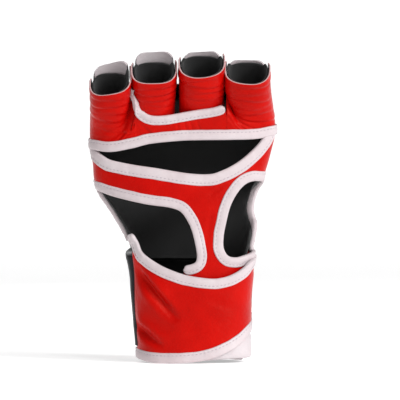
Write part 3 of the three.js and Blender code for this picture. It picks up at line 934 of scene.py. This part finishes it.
def web_folds(side):
    """Folds that fan out from the web beside an outer finger, on its (turn share, length) pattern."""
    corner = (side * 24, 25)
    ends = [(side * 2, 9), (side * 8, 6.5), (-side * 4, 14), (side * 13, 5.5), (-side * 8, 20)]
    depths = [0.5, 0.6, 0.4, 0.4, 0.3]
    folds = [fold(corner, end, depth, 1.1) for end, depth in zip(ends, depths)]
    return lambda u, l: sum(one(24 * u, l) for one in folds)


def loop_leather(finger, low, creases, join=None):
    """A finger loop. With join, its lower edge spreads over the palm between two arcs."""
    rows, columns = 58, 84
    v, u = np.meshgrid(np.linspace(0, 1, rows), np.linspace(-1, 1, columns), indexing="ij")
    u, v = u.ravel(), v.ravel()
    l = low + (rim_of(finger, u) - low) * v
    lift = creases(u, l)
    sides = []
    for tube_d, hand_d in ((0.0, LEATHER[1]), (-SLEEVE_WALL, LEATHER[0])):
        tube = sleeve(finger, u, l, tube_d + lift * (1 if tube_d == 0 else 0.8))
        if join is not None:
            z_low, z_high, left, right, web = join
            z = z_low(u) + (z_high - z_low(u)) * v
            s = left(z) + (right(z) - left(z)) * (u + 1) / 2
            near_web = np.exp(-((u - web) / 0.3) ** 2)
            hand = skin(s, z, hand_d + lift)
            late = WEB_HOLD * near_web
            share = smoothstep((v - late) / (1 - late) * 1.5)[:, None]
            tube = hand * (1 - share) + tube * share
        sides.append(tube)
    faces = grid_faces(rows, columns)
    piece = thick_sheet(f"{finger.name}_loop_leather", sides[0], sides[1], faces, LOOP, v > 0.99)
    blend_over_knuckle(piece, finger)
    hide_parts(f"{finger.name}_loop")
    return piece


def blend_over_knuckle(piece, finger):
    """Bakes a piece's placement into its mesh; the piece does not follow the finger."""
    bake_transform(piece)


def loops():
    """The four finger loops. The two outer ones run down over the sides of the palm."""
    bottom = palm_line(UPPER_BOTTOM, 0.8)

    def bottom_height(left, right):
        """Height of the upper strap's lower edge between two arcs, by turn share."""
        def height(u):
            z = np.full(np.shape(u), UPPER_BOTTOM_Z)
            s = left(z) + (right(z) - left(z)) * (u + 1) / 2
            return np.interp(s, bottom[:, 0], bottom[:, 1])
        return height

    def little_left(z):
        return -(side_arc(z) + SIDE_WRAP)

    def little_right(z):
        return arc_of(np.full(len(z), JOIN_LITTLE), z)

    def index_left(z):
        return arc_of(np.full(len(z), JOIN_INDEX), z)

    def index_right(z):
        return side_arc(z) + SIDE_WRAP

    loop_leather(LITTLE, 5.5, together(finger_creases(11, 6, 10, 40), web_folds(1)),
                 (bottom_height(little_left, little_right), 158.0, little_left, little_right, 1.0))
    loop_leather(RING, 13.0, finger_creases(12, 5, 22, 42))
    loop_leather(MIDDLE, 13.0, finger_creases(13, 5, 24, 45))
    loop_leather(INDEX, 5.5, together(finger_creases(14, 6, 14, 42), web_folds(-1)),
                 (bottom_height(index_left, index_right), 160.0, index_left, index_right, -1.0))


def finger_lining(finger):
    """The black inner sleeve of one finger, a closed thin tube."""
    rows, columns = 22, 56
    v, u = np.meshgrid(np.linspace(0, 1, rows), np.linspace(-1, 1, columns, endpoint=False), indexing="ij")
    u, v = u.ravel(), v.ravel()
    turned = np.minimum(np.abs(u) * math.pi / SEAM_TURN, 1)
    behind = smoothstep((np.abs(u) * math.pi - SEAM_TURN) / 0.6)
    top = rim_of(finger, np.sign(u) * turned * (1 - behind)) - RIM_CLEAR
    top = top * (1 - behind) + (finger.rim - 1.0) * behind
    l = LINING_LOW + (top - LINING_LOW) * v
    outer, inner = (sleeve(finger, u, l, d, limit=math.pi) for d in LINING_WALL)
    faces = grid_faces(rows, columns, wrap=True)
    piece = thick_sheet(f"{finger.name}_sleeve_lining", outer, inner, faces, CLOTH)
    blend_over_knuckle(piece, finger)
    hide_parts(f"{finger.name}_lining")


ARM_TAPER = 17.0  # length over which the arm narrows to its tip
ARM_TWIST = 11.0  # length over which the arm turns flat onto the palm
ARM_ALONG = (41.0, 38.0)  # the arm's top and foot, along the little finger
ARM_SHARE = 0.62  # how far round the little loop it lies
ARM_RISE = 1.0  # how far it stands out from the loop
ARM_STEP = 3.5  # spacing of the points that the tape is drawn through


def upper_top_tape():
    """The tape over the upper strap. Its left arm runs up the side of the little loop."""
    share = np.full(2, ARM_SHARE)
    arm = sleeve(LITTLE, share, np.array(ARM_ALONG), ARM_RISE)
    outward = unit(sleeve(LITTLE, share, np.array(ARM_ALONG), ARM_RISE + 2) - arm)
    line = palm_line(UPPER_TOP, ARM_STEP)
    path, normals = surface_path(line, LEATHER[1] - TAPE_SEAT)
    turned = smoothstep(np.arange(len(path)) * ARM_STEP / ARM_TWIST)[:, None]
    normals = unit(outward[-1] * (1 - turned) + normals * turned)
    both = np.hstack([np.vstack([arm, path]), np.vstack([outward, normals])])
    smooth = spline(both, 1.0)
    tape = tape_mesh("upper_top_edge_tape", smooth[:, :3], unit(smooth[:, 3:]), 6, width=5.6, taper=ARM_TAPER)
    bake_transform(tape)
    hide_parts("upper_top_tape")


# ---- back ------------------------------------------------------------------------------------------

def back_half(z):
    """Arc length from the back's centre line to the side seams."""
    z = np.asarray(z, float)
    return full_arc(z) - side_arc(z) - SIDE_WRAP


def thumb_back_line():
    """The back edge of the thumb hole, as (arc from the back's centre line, height)."""
    x, z = spline(THUMB_BACK[:-1], 1.5).T
    return np.stack([back_arc_of(x, z), z], axis=1)


TOP_NARROWING = 10.0  # how much narrower the back gets on each side toward the fingers


def bound_edge_reach(z):
    """How far the back panel comes round to the palm where the palm is open."""
    return SIDE_WRAP * smoothstep((z - 66) / 8) * smoothstep((108 - z) / 8)


def back_edges(reach, low, high, step=2.0):
    """The left and right edges of a panel round the back, reach(z) past each seam, going up."""
    heights = np.arange(low, high + 0.1, step)
    left = np.stack([-(back_half(heights) + reach(heights)), heights], axis=1)
    right = np.stack([back_half(heights) + reach(heights), heights], axis=1)
    return left, right


def back_outline(left, right):
    """A panel's outline round the back from its two edges, less the thumb hole."""
    hole = thumb_back_line()
    below = right[right[:, 1] < hole[0, 1] - 8]
    above = right[right[:, 1] > hole[-1, 1] + 6]
    return np.vstack([below, hole, above, left[::-1]])


def back_panel():
    """The black leather over the back of the hand."""
    def narrowing(z):
        return -TOP_NARROWING * smoothstep((z - 142) / 12)

    left, _ = back_edges(lambda z: narrowing(z) + bound_edge_reach(z), WRIST_SEAM_Z, BACK_TOP_Z)
    _, right = back_edges(narrowing, WRIST_SEAM_Z, BACK_TOP_Z)
    piece = skin_panel("back_leather", back_outline(left, right), LEATHER, BLACK_PANEL,
                       soft_relief(21, 24, 0.3), 1.8, back=True)
    on_hand(piece, "black_leather", "back_panel")


def back_lining():
    """The lining inside the back, which runs on round both sides of the hand."""
    outline = back_outline(*back_edges(lambda z: 13 - 24 * smoothstep((z - 132) / 14), LINING_FOOT_Z,
                                       BACK_TOP_Z + 2))
    piece = skin_panel("hand_lining", outline, HAND_LINING, CLOTH, soft_relief(22, 14, 0.15), 2.2, back=True)
    on_hand(piece, "black_lining", "back_lining")


def back_edge_tape():
    """The bound edge of the back, beside the open palm."""
    heights = np.arange(103.0, 72.0, -TAPE_STEP)
    line = np.stack([-(side_arc(heights) + SIDE_WRAP - bound_edge_reach(heights)), heights], axis=1)
    palm_tape("back_edge_binding", "back_edge_tape", line, 8, width=5.0)


# ---- cuff and closing strap ------------------------------------------------------------------------

CUFF_HEM_Z = 3.0  # height of the tape round the cuff's bottom
CUFF_TUCK = 4.0  # how far the cuff's back runs on under the strap's root


def rounded_box(left, right, low, high, radius):
    """A rounded rectangle as a fine outline."""
    corners = [(right - radius, low + radius, -90), (right - radius, high - radius, 0),
               (left + radius, high - radius, 90), (left + radius, low + radius, 180)]
    points = []
    for x, z, start in corners:
        for turn in np.radians(np.arange(start, start + 91, 15)):
            points.append((x + radius * math.cos(turn), z + radius * math.sin(turn)))
    return np.array(points)


def cuff_back():
    """The cuff's black leather round the back of the wrist."""
    left, right = back_edges(lambda z: 0 * z, LINING_FOOT_Z, WRIST_SEAM_Z)
    left[:, 0] -= CUFF_TUCK
    piece = skin_panel("cuff_leather", np.vstack([right, left[::-1]]), CUFF_LAYER, BLACK_PANEL,
                       soft_relief(23, 20, 0.25), 1.8, back=True)
    on_hand(piece, "black_leather", "cuff_back")


def back_tape(name, line, low, high, seed, **options):
    """A tape on (arc from the back's centre line, height) points at the layer low, facing high."""
    path = back_skin(*line.T, low)
    return tape_mesh(name, path, unit(back_skin(*line.T, high) - path), seed, **options)


def cuff_bottom_tape():
    """The tape round the bottom of the cuff's back."""
    half = back_half([CUFF_HEM_Z])[0]
    b = half - 2 * half * np.arange(0, 1.001, 0.02)
    line = np.stack([b, np.full(len(b), CUFF_HEM_Z)], axis=1)
    piece = back_tape("cuff_bottom_binding", line, CUFF_LAYER[1], CUFF_LAYER[1] + 1, 9, width=5.4, wrap=1.6)
    on_hand(piece, "white_tape", "cuff_bottom_tape")


UNDERLAP_RISE = 4.2  # how far the underlap's free corner stands out


def cuff_underlap():
    """The white leather under the strap, whose free corner shows below it."""
    bottom = limited(palm_line([(5.6, 1.0), (20, 2.0), (30, 2.8), (38, 4.0), (44, 9.6)], 2.0))
    heights = np.arange(10.0, 45.5, 3.0)
    right = right_edge(heights)
    left = palm_line([(5.6, 45.0), (5.6, 3.0)], 3.0)

    def proud(s, z):
        """Its free corner stands out below the strap."""
        past = s - side_arc(z)
        share = smoothstep((past + 22) / 12) * smoothstep((7 - past) / 5) * smoothstep((24 - z) / 10)
        return UNDERLAP_RISE * share

    piece = skin_panel("cuff_underlap_leather", np.vstack([bottom, right, left]), CUFF_LAYER, WHITE_PANEL,
                       together(soft_relief(24, 18, 0.3), proud), 1.8)
    on_hand(piece, "white_leather", "cuff_underlap")


def loop_patch():
    """The loop side of the fastener, sewn to the back of the cuff."""
    outline = rounded_box(-23, 29, 13, 48, 3.0)
    piece = skin_panel("loop_fastener", outline, LOOP_PATCH, FASTENER, None, 1.6, back=True)
    on_hand(piece, "hook_and_loop", "loop_patch")


def strap_edges():
    """The strap's top and bottom edges on the palm side, as (arc, height)."""
    return palm_line(STRAP_TOP, d=STRAP[1]), palm_line(STRAP_BOTTOM, d=STRAP[1])


TAPE_PAST_END = 2.0  # how far the strap's tapes run on past its sewn end
STRAP_DROP = 3.2  # how far the strap's upper left corner comes down onto the back
ROOT_RISE = 2.3  # how far the strap's root stands out at the side of the wrist
ROOT_LOW_Z = 9.0
ROOT_HIGH_Z = 72.0
ROOT_OUT = 9.0  # how far the root runs out round the side, and in under the strap
ROOT_IN = 14.0
TAB_BEND_Z = 40.0  # height at which the tab's sewn end is measured
TAB_TUCK_DEPTH = 1.8  # how far the tab's sewn end sinks under the strap


def strap_start(z):
    """How far inside the left outline the red leather begins."""
    return 3.5 + 6.5 * np.clip(z / WRIST_SEAM_Z, 0, 1)


def strap_outline(start, end):
    """The strap's outline, from start(height) inside its left side to end past its right side."""
    top, bottom = strap_edges()

    def between(line):
        s, z = line.T
        return line[(s > -(side_arc(z) - start(z))) & (s < side_arc(z) + end)]

    low, high = between(bottom), between(top)
    heights = np.arange(low[0, 1] + 2, high[0, 1] - 1, 2.0)
    left = np.stack([-(side_arc(heights) - start(heights)), heights], axis=1)
    return np.vstack([low, high[::-1], left[::-1]])


def strap_top_left(s, z):
    """The strap's upper left corner comes down to the bound edge of the back."""
    return -STRAP_DROP * smoothstep((z - WRIST_SEAM_Z) / 10) * (s < 0)


def strap_relief():
    """The strap's folds, faded toward its edges."""
    folds = strap_folds()
    top, bottom = strap_edges()

    def relief(s, z):
        from_left = s + side_arc(z) - strap_start(z)
        above_tape = z - np.interp(s, bottom[:, 0], bottom[:, 1]) - TAPE_WIDTH / 2
        below_tape = np.interp(s, top[:, 0], top[:, 1]) - TAPE_WIDTH / 2 - z
        calm = smoothstep((from_left - 0.5) / 7) * smoothstep(above_tape / 6) * smoothstep(below_tape / 4)
        return folds(s, z) * calm

    return relief


def under_folds():
    """How the layers under the strap give way to its folds."""
    folds = strap_relief()
    return lambda s, z: np.minimum(folds(s, z), 0)


def strap_folds():
    """The soft pull folds across the strap."""
    return together(
        soft_relief(25, 30, 0.7),
        crease((-23, 60), (0, 25), 3.4, 2.6),
        crease((-27, 34), (-7, 9), 3.2, 2.6),
        crease((-19, 54), (-7, 36), 0.7, 1.3),
        crease((-6, 44), (8, 20), 0.6, 3.0),
        crease((6, 42), (26, 33), 0.4, 2.6),
    )


def root_blend(piece):
    """Bakes a strap piece's placement into its mesh, where it stays fixed."""
    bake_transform(piece)


def wrist_strap():
    """The closing strap: its red leather, the black root that it swings on, and its backing."""
    panel = skin_panel("wrist_strap_leather", strap_outline(strap_start, STRAP_END), STRAP, PANEL,
                       together(strap_top_left, strap_relief()), 1.2)
    root = skin_panel("wrist_strap_root", root_outline(), STRAP_ROOT, BLACK_PANEL,
                      together(root_relief, under_folds()), 1.2)
    lining = skin_panel("wrist_strap_backing", strap_outline(lambda z: strap_start(z) - 3, STRAP_END),
                        STRAP_LINING, CLOTH, under_folds(), 2.0)
    for piece, slot in ((panel, "red_leather"), (root, "black_leather"), (lining, "black_lining")):
        root_blend(piece)
    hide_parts("wrist_strap")
    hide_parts("wrist_strap_lining")


def root_relief(s, z):
    """The root stands out where it turns round the side of the wrist."""
    inward = side_arc(z) + s
    proud = ROOT_RISE * smoothstep((inward + 8) / 7) * smoothstep((11 - inward) / 5)
    return proud * smoothstep((ROOT_HIGH_Z - z) / 10) + soft_relief(26, 18, 0.2)(s, z)


def root_outline():
    """The black leather from the cuff's side to under the red strap."""
    top, bottom = strap_edges()
    heights = np.arange(ROOT_LOW_Z, ROOT_HIGH_Z, 3.0)
    left = np.stack([-(side_arc(heights) + ROOT_OUT), heights], axis=1)
    right = np.stack([-(side_arc(heights) - ROOT_IN), heights], axis=1)
    low = np.interp(right[:, 0], bottom[:, 0], bottom[:, 1])
    high = np.interp(right[:, 0], top[:, 0], top[:, 1])
    right = right[(heights > low + 1) & (heights < high - 1)]
    return np.vstack([left[::-1], right])


def strap_tape(name, node, line, seed):
    """A tape along one of the strap's edges, which runs on a little past its sewn end."""
    s, z = line.T
    path, normals = surface_path(line, STRAP[1] - TAPE_SEAT + strap_top_left(s, z))
    piece = tape_mesh(name, path, normals, seed, wrap=1.8)
    root_blend(piece)
    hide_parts(node)


def strap_tapes():
    """The tapes along the strap's top and bottom edges."""
    top, bottom = (line[line[:, 0] < side_arc(line[:, 1]) + STRAP_END + TAPE_PAST_END]
                   for line in strap_edges())
    strap_tape("strap_top_edge_tape", "strap_top_tape", top, 31)
    strap_tape("strap_bottom_edge_tape", "strap_bottom_tape", bottom[::-1], 32)


def strap_end_height(line):
    """Height at which one of the strap's edges reaches its sewn end."""
    s, z = line.T
    return np.interp(0, s - side_arc(z) - STRAP_END, z)


def tab_line(overlap):
    """The tab's edge as (arc from the back's centre line, height), from top right to bottom right."""
    top, bottom = (strap_end_height(line) for line in strap_edges())
    start = full_arc([TAB_BEND_Z])[0] - side_arc([TAB_BEND_Z])[0] - STRAP_END
    return spline([
        (start + overlap, top + 0.3), (start - 4, top - 2.2), (start - 12, 57), (18, 53.5), (4, 52),
        (TAB_END + 6, 51), (TAB_END, 46), (TAB_END, 32), (TAB_END, 17), (TAB_END + 6, 12), (4, 12.2),
        (18, 13.6), (start - 12, 17), (start - 4, bottom - 2.5), (start + overlap, bottom - 0.3),
    ])


def under_strap(b, z):
    """The tab runs on under the end of the strap."""
    start = full_arc(z) - side_arc(z) - STRAP_END
    return -TAB_TUCK_DEPTH * smoothstep(b - start - 0.3)


def tab_blend(piece):
    """Bakes a tab piece's placement into its mesh, where it stays fixed."""
    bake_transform(piece)


def tab():
    """The strap's free end, with its binding and the hook side of the fastener."""
    relief = together(soft_relief(27, 20, 0.3), under_strap)
    panel = skin_panel("tab_leather", tab_line(5.0), STRAP, PANEL, relief, 1.2, back=True)
    tape = back_tape("tab_binding", tab_line(1.5), STRAP[1] - TAPE_SEAT, STRAP[1] + 1, 33, wrap=1.4)
    hooks = skin_panel("hook_fastener", rounded_box(-15, 30, 16, 48, 3.0), HOOK_PATCH, FASTENER,
                       None, 1.6, back=True)
    for piece, slot in ((panel, "red_leather"), (tape, "white_tape"), (hooks, "hook_and_loop")):
        tab_blend(piece)
    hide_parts("tab_panel")
    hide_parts("tab_edge_tape")
    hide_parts("hook_patch")


# ---- pads ------------------------------------------------------------------------------------------

CLOTH_SCALE = 10 * MM  # pads are simulated ten times life size
CLOTH_FRAMES = 20
PRESSURE = 4.0
BLOCK_SPACING = 2.5  # spacing of the points of the block that is blown up


def closed_block(outline, base, top):
    """A closed block over an outline, between two heights given as functions of its points."""
    flat, faces = flat_triangles(outline, BLOCK_SPACING)
    n = len(flat)
    points = np.vstack([np.column_stack([flat, top(flat)]), np.column_stack([flat, base(flat)])])
    under = [[v + n for v in reversed(face)] for face in faces]
    rim = [[b, a, a + n, b + n] for a, b in boundary_edges(faces)]
    return points, [list(face) for face in faces] + under + rim


def inflate(points, faces, voxel, cap):
    """Remeshes a block in evenly sized cells and fills it with air like a sewn pad."""
    mesh = bpy.data.meshes.new("pad_form")
    mesh.from_pydata(points * CLOTH_SCALE, [], [list(map(int, face)) for face in faces])
    form = in_scene("pad_form", mesh)
    remesh = form.modifiers.new("cells", "REMESH")
    remesh.mode = "VOXEL"
    remesh.voxel_size = voxel * CLOTH_SCALE
    apply_modifiers(form)
    start = vertex_array(form.data) / CLOTH_SCALE
    cloth = form.modifiers.new("air", "CLOTH")
    cloth.settings.use_pressure = True
    cloth.settings.uniform_pressure_force = PRESSURE
    cloth.settings.effector_weights.gravity = 0
    cloth.point_cache.frame_start = 1
    cloth.point_cache.frame_end = CLOTH_FRAMES
    for step in range(1, CLOTH_FRAMES + 1):
        bpy.context.scene.frame_set(step)
    apply_modifiers(form)
    bpy.context.scene.frame_set(1)
    moved = vertex_array(form.data) / CLOTH_SCALE
    step = moved - start
    length = np.linalg.norm(step, axis=1, keepdims=True)
    capped = start + step * np.minimum(1, cap / np.maximum(length, 1e-6))
    form.data.vertices.foreach_set("co", (capped * CLOTH_SCALE).ravel())
    form.modifiers.new("smooth", "SUBSURF").levels = 1
    apply_modifiers(form)
    points = vertex_array(form.data) / CLOTH_SCALE
    faces = [list(polygon.vertices) for polygon in form.data.polygons]
    bpy.data.objects.remove(form)
    return points, faces


def apply_modifiers(piece):
    """Replaces a piece's mesh with the one its modifiers make."""
    graph = bpy.context.evaluated_depsgraph_get()
    mesh = bpy.data.meshes.new_from_object(piece.evaluated_get(graph))
    piece.modifiers.clear()
    piece.data = mesh


def vertex_array(mesh):
    """A mesh's points as rows of x, y and z."""
    values = np.zeros(len(mesh.vertices) * 3)
    mesh.vertices.foreach_get("co", values)
    return values.reshape(-1, 3)


PAD_BASE = 3.1  # underside of the knuckle pad, above the hand
PAD_EDGE_HEIGHT = 5.5  # the knuckle pad's thickness at its edge before it is blown up
PAD_DOME = 4.0  # how much thicker it is in the middle
PAD_DOME_WIDTH = 9.0
KNUCKLE_PAD = (-46.0, 46.0, 95.0, 171.0)  # its left, right, bottom and top over the back
PAD_CLEAR = 28.3  # how near the hinge line the knuckle pad stays, so that the fingers clear it
THUMB_GAP = 5.0  # room between the knuckle pad and the thumb hole's edge
STITCHED_VALLEYS = (-30.0, -2.5, 26.5)  # seams that run up the knuckle pad
CROSS_SEAM_Z = 112.0
SEAM_WIDTH = 1.5  # breadth of the valley along a seam
BLACK_BAND = 2.0  # height of the black leather round the pad's foot


def knuckle_pad():
    """The padded cover over the knuckles, with seams sewn through it."""
    left, right, low, high = KNUCKLE_PAD
    outline = rounded_box(left + 2, right - 2, low + 2, high - 1, 13.0)

    def top(flat):
        edge = edge_distance(flat, outline)
        return PAD_BASE + PAD_EDGE_HEIGHT + PAD_DOME * smoothstep(edge / PAD_DOME_WIDTH)

    points, faces = inflate(*closed_block(outline, lambda flat: np.full(len(flat), PAD_BASE), top), 2.6, 2.2)
    b, z, d = points.T
    d = np.maximum(d, PAD_BASE)
    valleys = np.zeros(len(b))
    for x in STITCHED_VALLEYS:
        valleys += np.exp(-((b - x) / SEAM_WIDTH) ** 2) * smoothstep((z - CROSS_SEAM_Z - 1) / 6)
    valleys += np.exp(-((z - CROSS_SEAM_Z - 0.004 * b ** 2) / SEAM_WIDTH) ** 2)
    d = PAD_BASE + (d - PAD_BASE) * (1 - 0.5 * np.clip(valleys, 0, 1))
    body = keep_off_thumb(keep_inside_knuckles(back_skin(b * 0.97, z, d)))
    sides = face_material(points, faces, lambda p: p[:, 2] < PAD_BASE + BLACK_BAND)
    pad = make_mesh("knuckle_pad", body, faces, [WHITE, BLACK], sides)
    on_hand(pad, "white_leather", "knuckle_pad_cover", "knuckle_pad_foam")


def face_material(points, faces, test):
    """The second material for the faces whose centres pass a test, and the first for the rest."""
    centres = np.array([points[face].mean(0) for face in faces])
    return test(centres).astype(int)


def hinge_height(points):
    """Height of the knuckle hinge line at each point's x."""
    x = [finger.x for finger in FINGERS]
    z = [finger.z for finger in FINGERS]
    return np.interp(points[:, 0], x, z)


def keep_inside_knuckles(points):
    """Pulls points above the hinges to within PAD_CLEAR of them."""
    hinge = hinge_height(points)
    y, z = points[:, 1], points[:, 2] - hinge
    away = np.hypot(y, z)
    scale = np.where((z > 2) & (away > PAD_CLEAR), PAD_CLEAR / np.maximum(away, 1e-6), 1)
    points = points.copy()
    points[:, 1] = y * scale
    points[:, 2] = z * scale + hinge
    return points


def keep_off_thumb(points):
    """Moves points clear of the thumb hole's tape."""
    line = spline(THUMB_BACK, 1.0)
    points = points.copy()
    limit = np.interp(points[:, 2], line[:, 1], line[:, 0], left=np.inf, right=np.inf) - THUMB_GAP
    points[:, 0] = np.minimum(points[:, 0], limit)
    return points


PAD_EDGE = 0.6  # how far a finger pad's outline stays inside its sleeve's side and its top
PAD_SWELL = 1.6  # room left round the outline for the air
PAD_FOOT = 21.5  # where a finger pad starts, along the finger
PAD_HEIGHT = 21.2  # height of its top over the finger's middle
PAD_FALL = 7.2  # how far its top comes down toward the fingertip
FALL_LENGTH = 17.0
PAD_CROWN = 2.4  # how far its top comes down toward its sides
PAD_FLOOR = 7.5  # its underside before it is laid on the sleeve
PAD_REST = 5.9  # the lowest that its underside goes
VALLEY_AT = 33.5  # place of the shallow crease across it
VALLEY_DEPTH = 0.12  # as a share of its thickness
VALLEY_OVER = 14.0  # the crease only marks what is higher than this
HINGE_CLEAR = 29.6  # how far it stays from its hinge, to clear the knuckle pad
PAD_REACH = 23.4  # the furthest back that it goes
BLACK_SIDE = (11.2, 2.2)  # height and breadth of the black leather along its sides


def finger_pad(finger):
    """The pad over the back of one finger, in the finger's own coordinates."""
    half = finger.half - PAD_EDGE
    tip = finger.pad - PAD_EDGE
    outline = rounded_box(-half + PAD_SWELL, half - PAD_SWELL, PAD_FOOT, tip - PAD_SWELL, 4.5)

    def top(flat):
        fall = smoothstep((flat[:, 1] - (tip - FALL_LENGTH)) / FALL_LENGTH)
        crown = (flat[:, 0] / half) ** 2
        return PAD_HEIGHT - PAD_FALL * fall - PAD_CROWN * crown

    points, faces = inflate(*closed_block(outline, lambda flat: np.full(len(flat), PAD_FLOOR), top), 1.9, 1.8)
    x, l, y = points.T
    x = np.clip(x, -finger.half, finger.half)
    sleeve_y = FINGER_DEPTH * np.clip(1 - np.abs(x / finger.half) ** SQUARENESS, 0, 1) ** (1 / SQUARENESS)
    base = np.maximum(sleeve_y, PAD_REST)
    valley = np.exp(-((l - VALLEY_AT) / 1.2) ** 2)
    y = np.where(y > VALLEY_OVER, base + (y - base) * (1 - VALLEY_DEPTH * valley), y)
    y = np.maximum(y, base + 0.1)
    l = l + 0.8 * finger.rim_slope * x / finger.half * smoothstep((l - 32) / 14)
    push = np.maximum(HINGE_CLEAR / np.hypot(y, l), 1)
    l = l * push
    y = np.minimum(y * push, PAD_REACH)
    body = from_finger(finger, x, y, l)
    high, broad = BLACK_SIDE
    sides = face_material(points, faces, lambda p: (p[:, 2] < high) & (np.abs(p[:, 0]) > half - broad))
    pad = make_mesh(f"{finger.name}_pad", body, faces, [WHITE, BLACK], sides)
    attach(pad, finger.body)
    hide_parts(f"{finger.name}_pad_cover", f"{finger.name}_pad_foam")


# ---- build -----------------------------------------------------------------------------------------

def build_glove():
    """Every piece of the glove, from the palm round to the back."""
    upper_strap()
    mid_panel()
    palm_tapes()
    thumb_tape()
    loops()
    for finger in FINGERS:
        finger_lining(finger)
        finger_pad(finger)
    upper_top_tape()
    back_panel()
    back_lining()
    back_edge_tape()
    knuckle_pad()
    cuff_back()
    cuff_bottom_tape()
    cuff_underlap()
    loop_patch()
    wrist_strap()
    strap_tapes()
    tab()


# ---- studio ----------------------------------------------------------------------------------------

TARGET = Vector((0.0104, 0.0, 0.0972))  # what the camera looks at, m
CAMERA_AWAY = 2.0
CAMERA_ELEVATION = math.radians(0.5)
CAMERA_LENS = 300
CAMERA_SENSOR = 36
CAMERA_FAR = 20
PAPER_GLOW = 1.1
FLOOR_GLOW = 0.42
WORLD_GLOW = 0.24
FLOOR_REACH = 4.0
WALL_SIDES = 32
WALL_LOW = -0.01
WALL_HIGH = 0.9
ALL_WHITE = (1, 1, 1, 1)


def area_light(name, place, size, power):
    """A square light that shines on the glove from place."""
    light = bpy.data.lights.new(name, "AREA")
    light.size = size
    light.energy = power
    lamp = in_scene(name, light)
    lamp.location = place
    lamp.rotation_euler = (TARGET - Vector(place)).to_track_quat("-Z", "Y").to_euler()
    return lamp


def sun_light(name, place, spread_angle, strength):
    """A distant light from the direction of place."""
    light = bpy.data.lights.new(name, "SUN")
    light.angle = math.radians(spread_angle)
    light.energy = strength
    lamp = in_scene(name, light)
    lamp.rotation_euler = Vector(place).to_track_quat("Z", "Y").to_euler()
    return lamp


def floor():
    """A white floor that glows a little, so that it shows white all round."""
    material, tree, shader = new_material("studio_floor", 0.8)
    grain = noise(tree, millimetres(tree), 40.0, 2.0)
    white = ramp(tree, grain, [(0.3, (0.88, 0.88, 0.88)), (0.7, (0.9, 0.9, 0.9))])
    tree.links.new(white, shader.inputs["Base Color"])
    shader.inputs["Emission Color"].default_value = ALL_WHITE
    shader.inputs["Emission Strength"].default_value = FLOOR_GLOW
    mesh = bpy.data.meshes.new("floor")
    r = FLOOR_REACH
    mesh.from_pydata([(-r, -r, 0), (r, -r, 0), (r, r, 0), (-r, r, 0)], [], [(0, 1, 2, 3)])
    mesh.materials.append(material)
    return in_scene("floor", mesh)


def backdrop():
    """Bright paper walls round the floor, so that the far background is white from every side."""
    material, _, shader = new_material("studio_paper", 1.0)
    shader.inputs["Emission Color"].default_value = ALL_WHITE
    shader.inputs["Emission Strength"].default_value = PAPER_GLOW
    shader.inputs["Base Color"].default_value = (0, 0, 0, 1)
    turns = [2 * math.pi * k / WALL_SIDES for k in range(WALL_SIDES)]
    points = [(FLOOR_REACH * math.cos(turn), FLOOR_REACH * math.sin(turn), z)
              for turn in turns for z in (WALL_LOW, WALL_HIGH)]
    count = len(points)
    faces = [(k, k + 1, (k + 3) % count, (k + 2) % count) for k in range(0, count, 2)]
    mesh = bpy.data.meshes.new("backdrop")
    mesh.from_pydata(points, [], faces)
    mesh.materials.append(material)
    return in_scene("backdrop", mesh)


def camera():
    """A long lens in front of the palm, a little above its middle."""
    lens = bpy.data.cameras.new("camera")
    lens.lens = CAMERA_LENS
    lens.sensor_width = CAMERA_SENSOR
    lens.clip_end = CAMERA_FAR
    eye = in_scene("camera", lens)
    away = Vector((0, -math.cos(CAMERA_ELEVATION), math.sin(CAMERA_ELEVATION))) * CAMERA_AWAY
    eye.location = TARGET + away
    eye.rotation_euler = (-away).to_track_quat("-Z", "Y").to_euler()
    bpy.context.scene.camera = eye
    return eye


def white_world():
    """A dim white sky."""
    world = bpy.data.worlds.new("studio")
    world.use_nodes = True
    shader = world.node_tree.nodes["Background"]
    shader.inputs["Color"].default_value = ALL_WHITE
    shader.inputs["Strength"].default_value = WORLD_GLOW
    bpy.context.scene.world = world


def studio():
    """The floor, the walls, the camera and the lights."""
    white_world()
    pieces = [
        floor(),
        backdrop(),
        camera(),
        sun_light("sun_light", (1.35, -1.0, 0.8), 20.0, 2.3),
        area_light("key_light", (0.5, -0.9, 0.7), 0.25, 3.0),
        area_light("back_light", (-0.5, 0.9, 0.6), 0.5, 4.0),
    ]
    bpy.context.scene.view_settings.view_transform = "Standard"


build_glove()
studio()
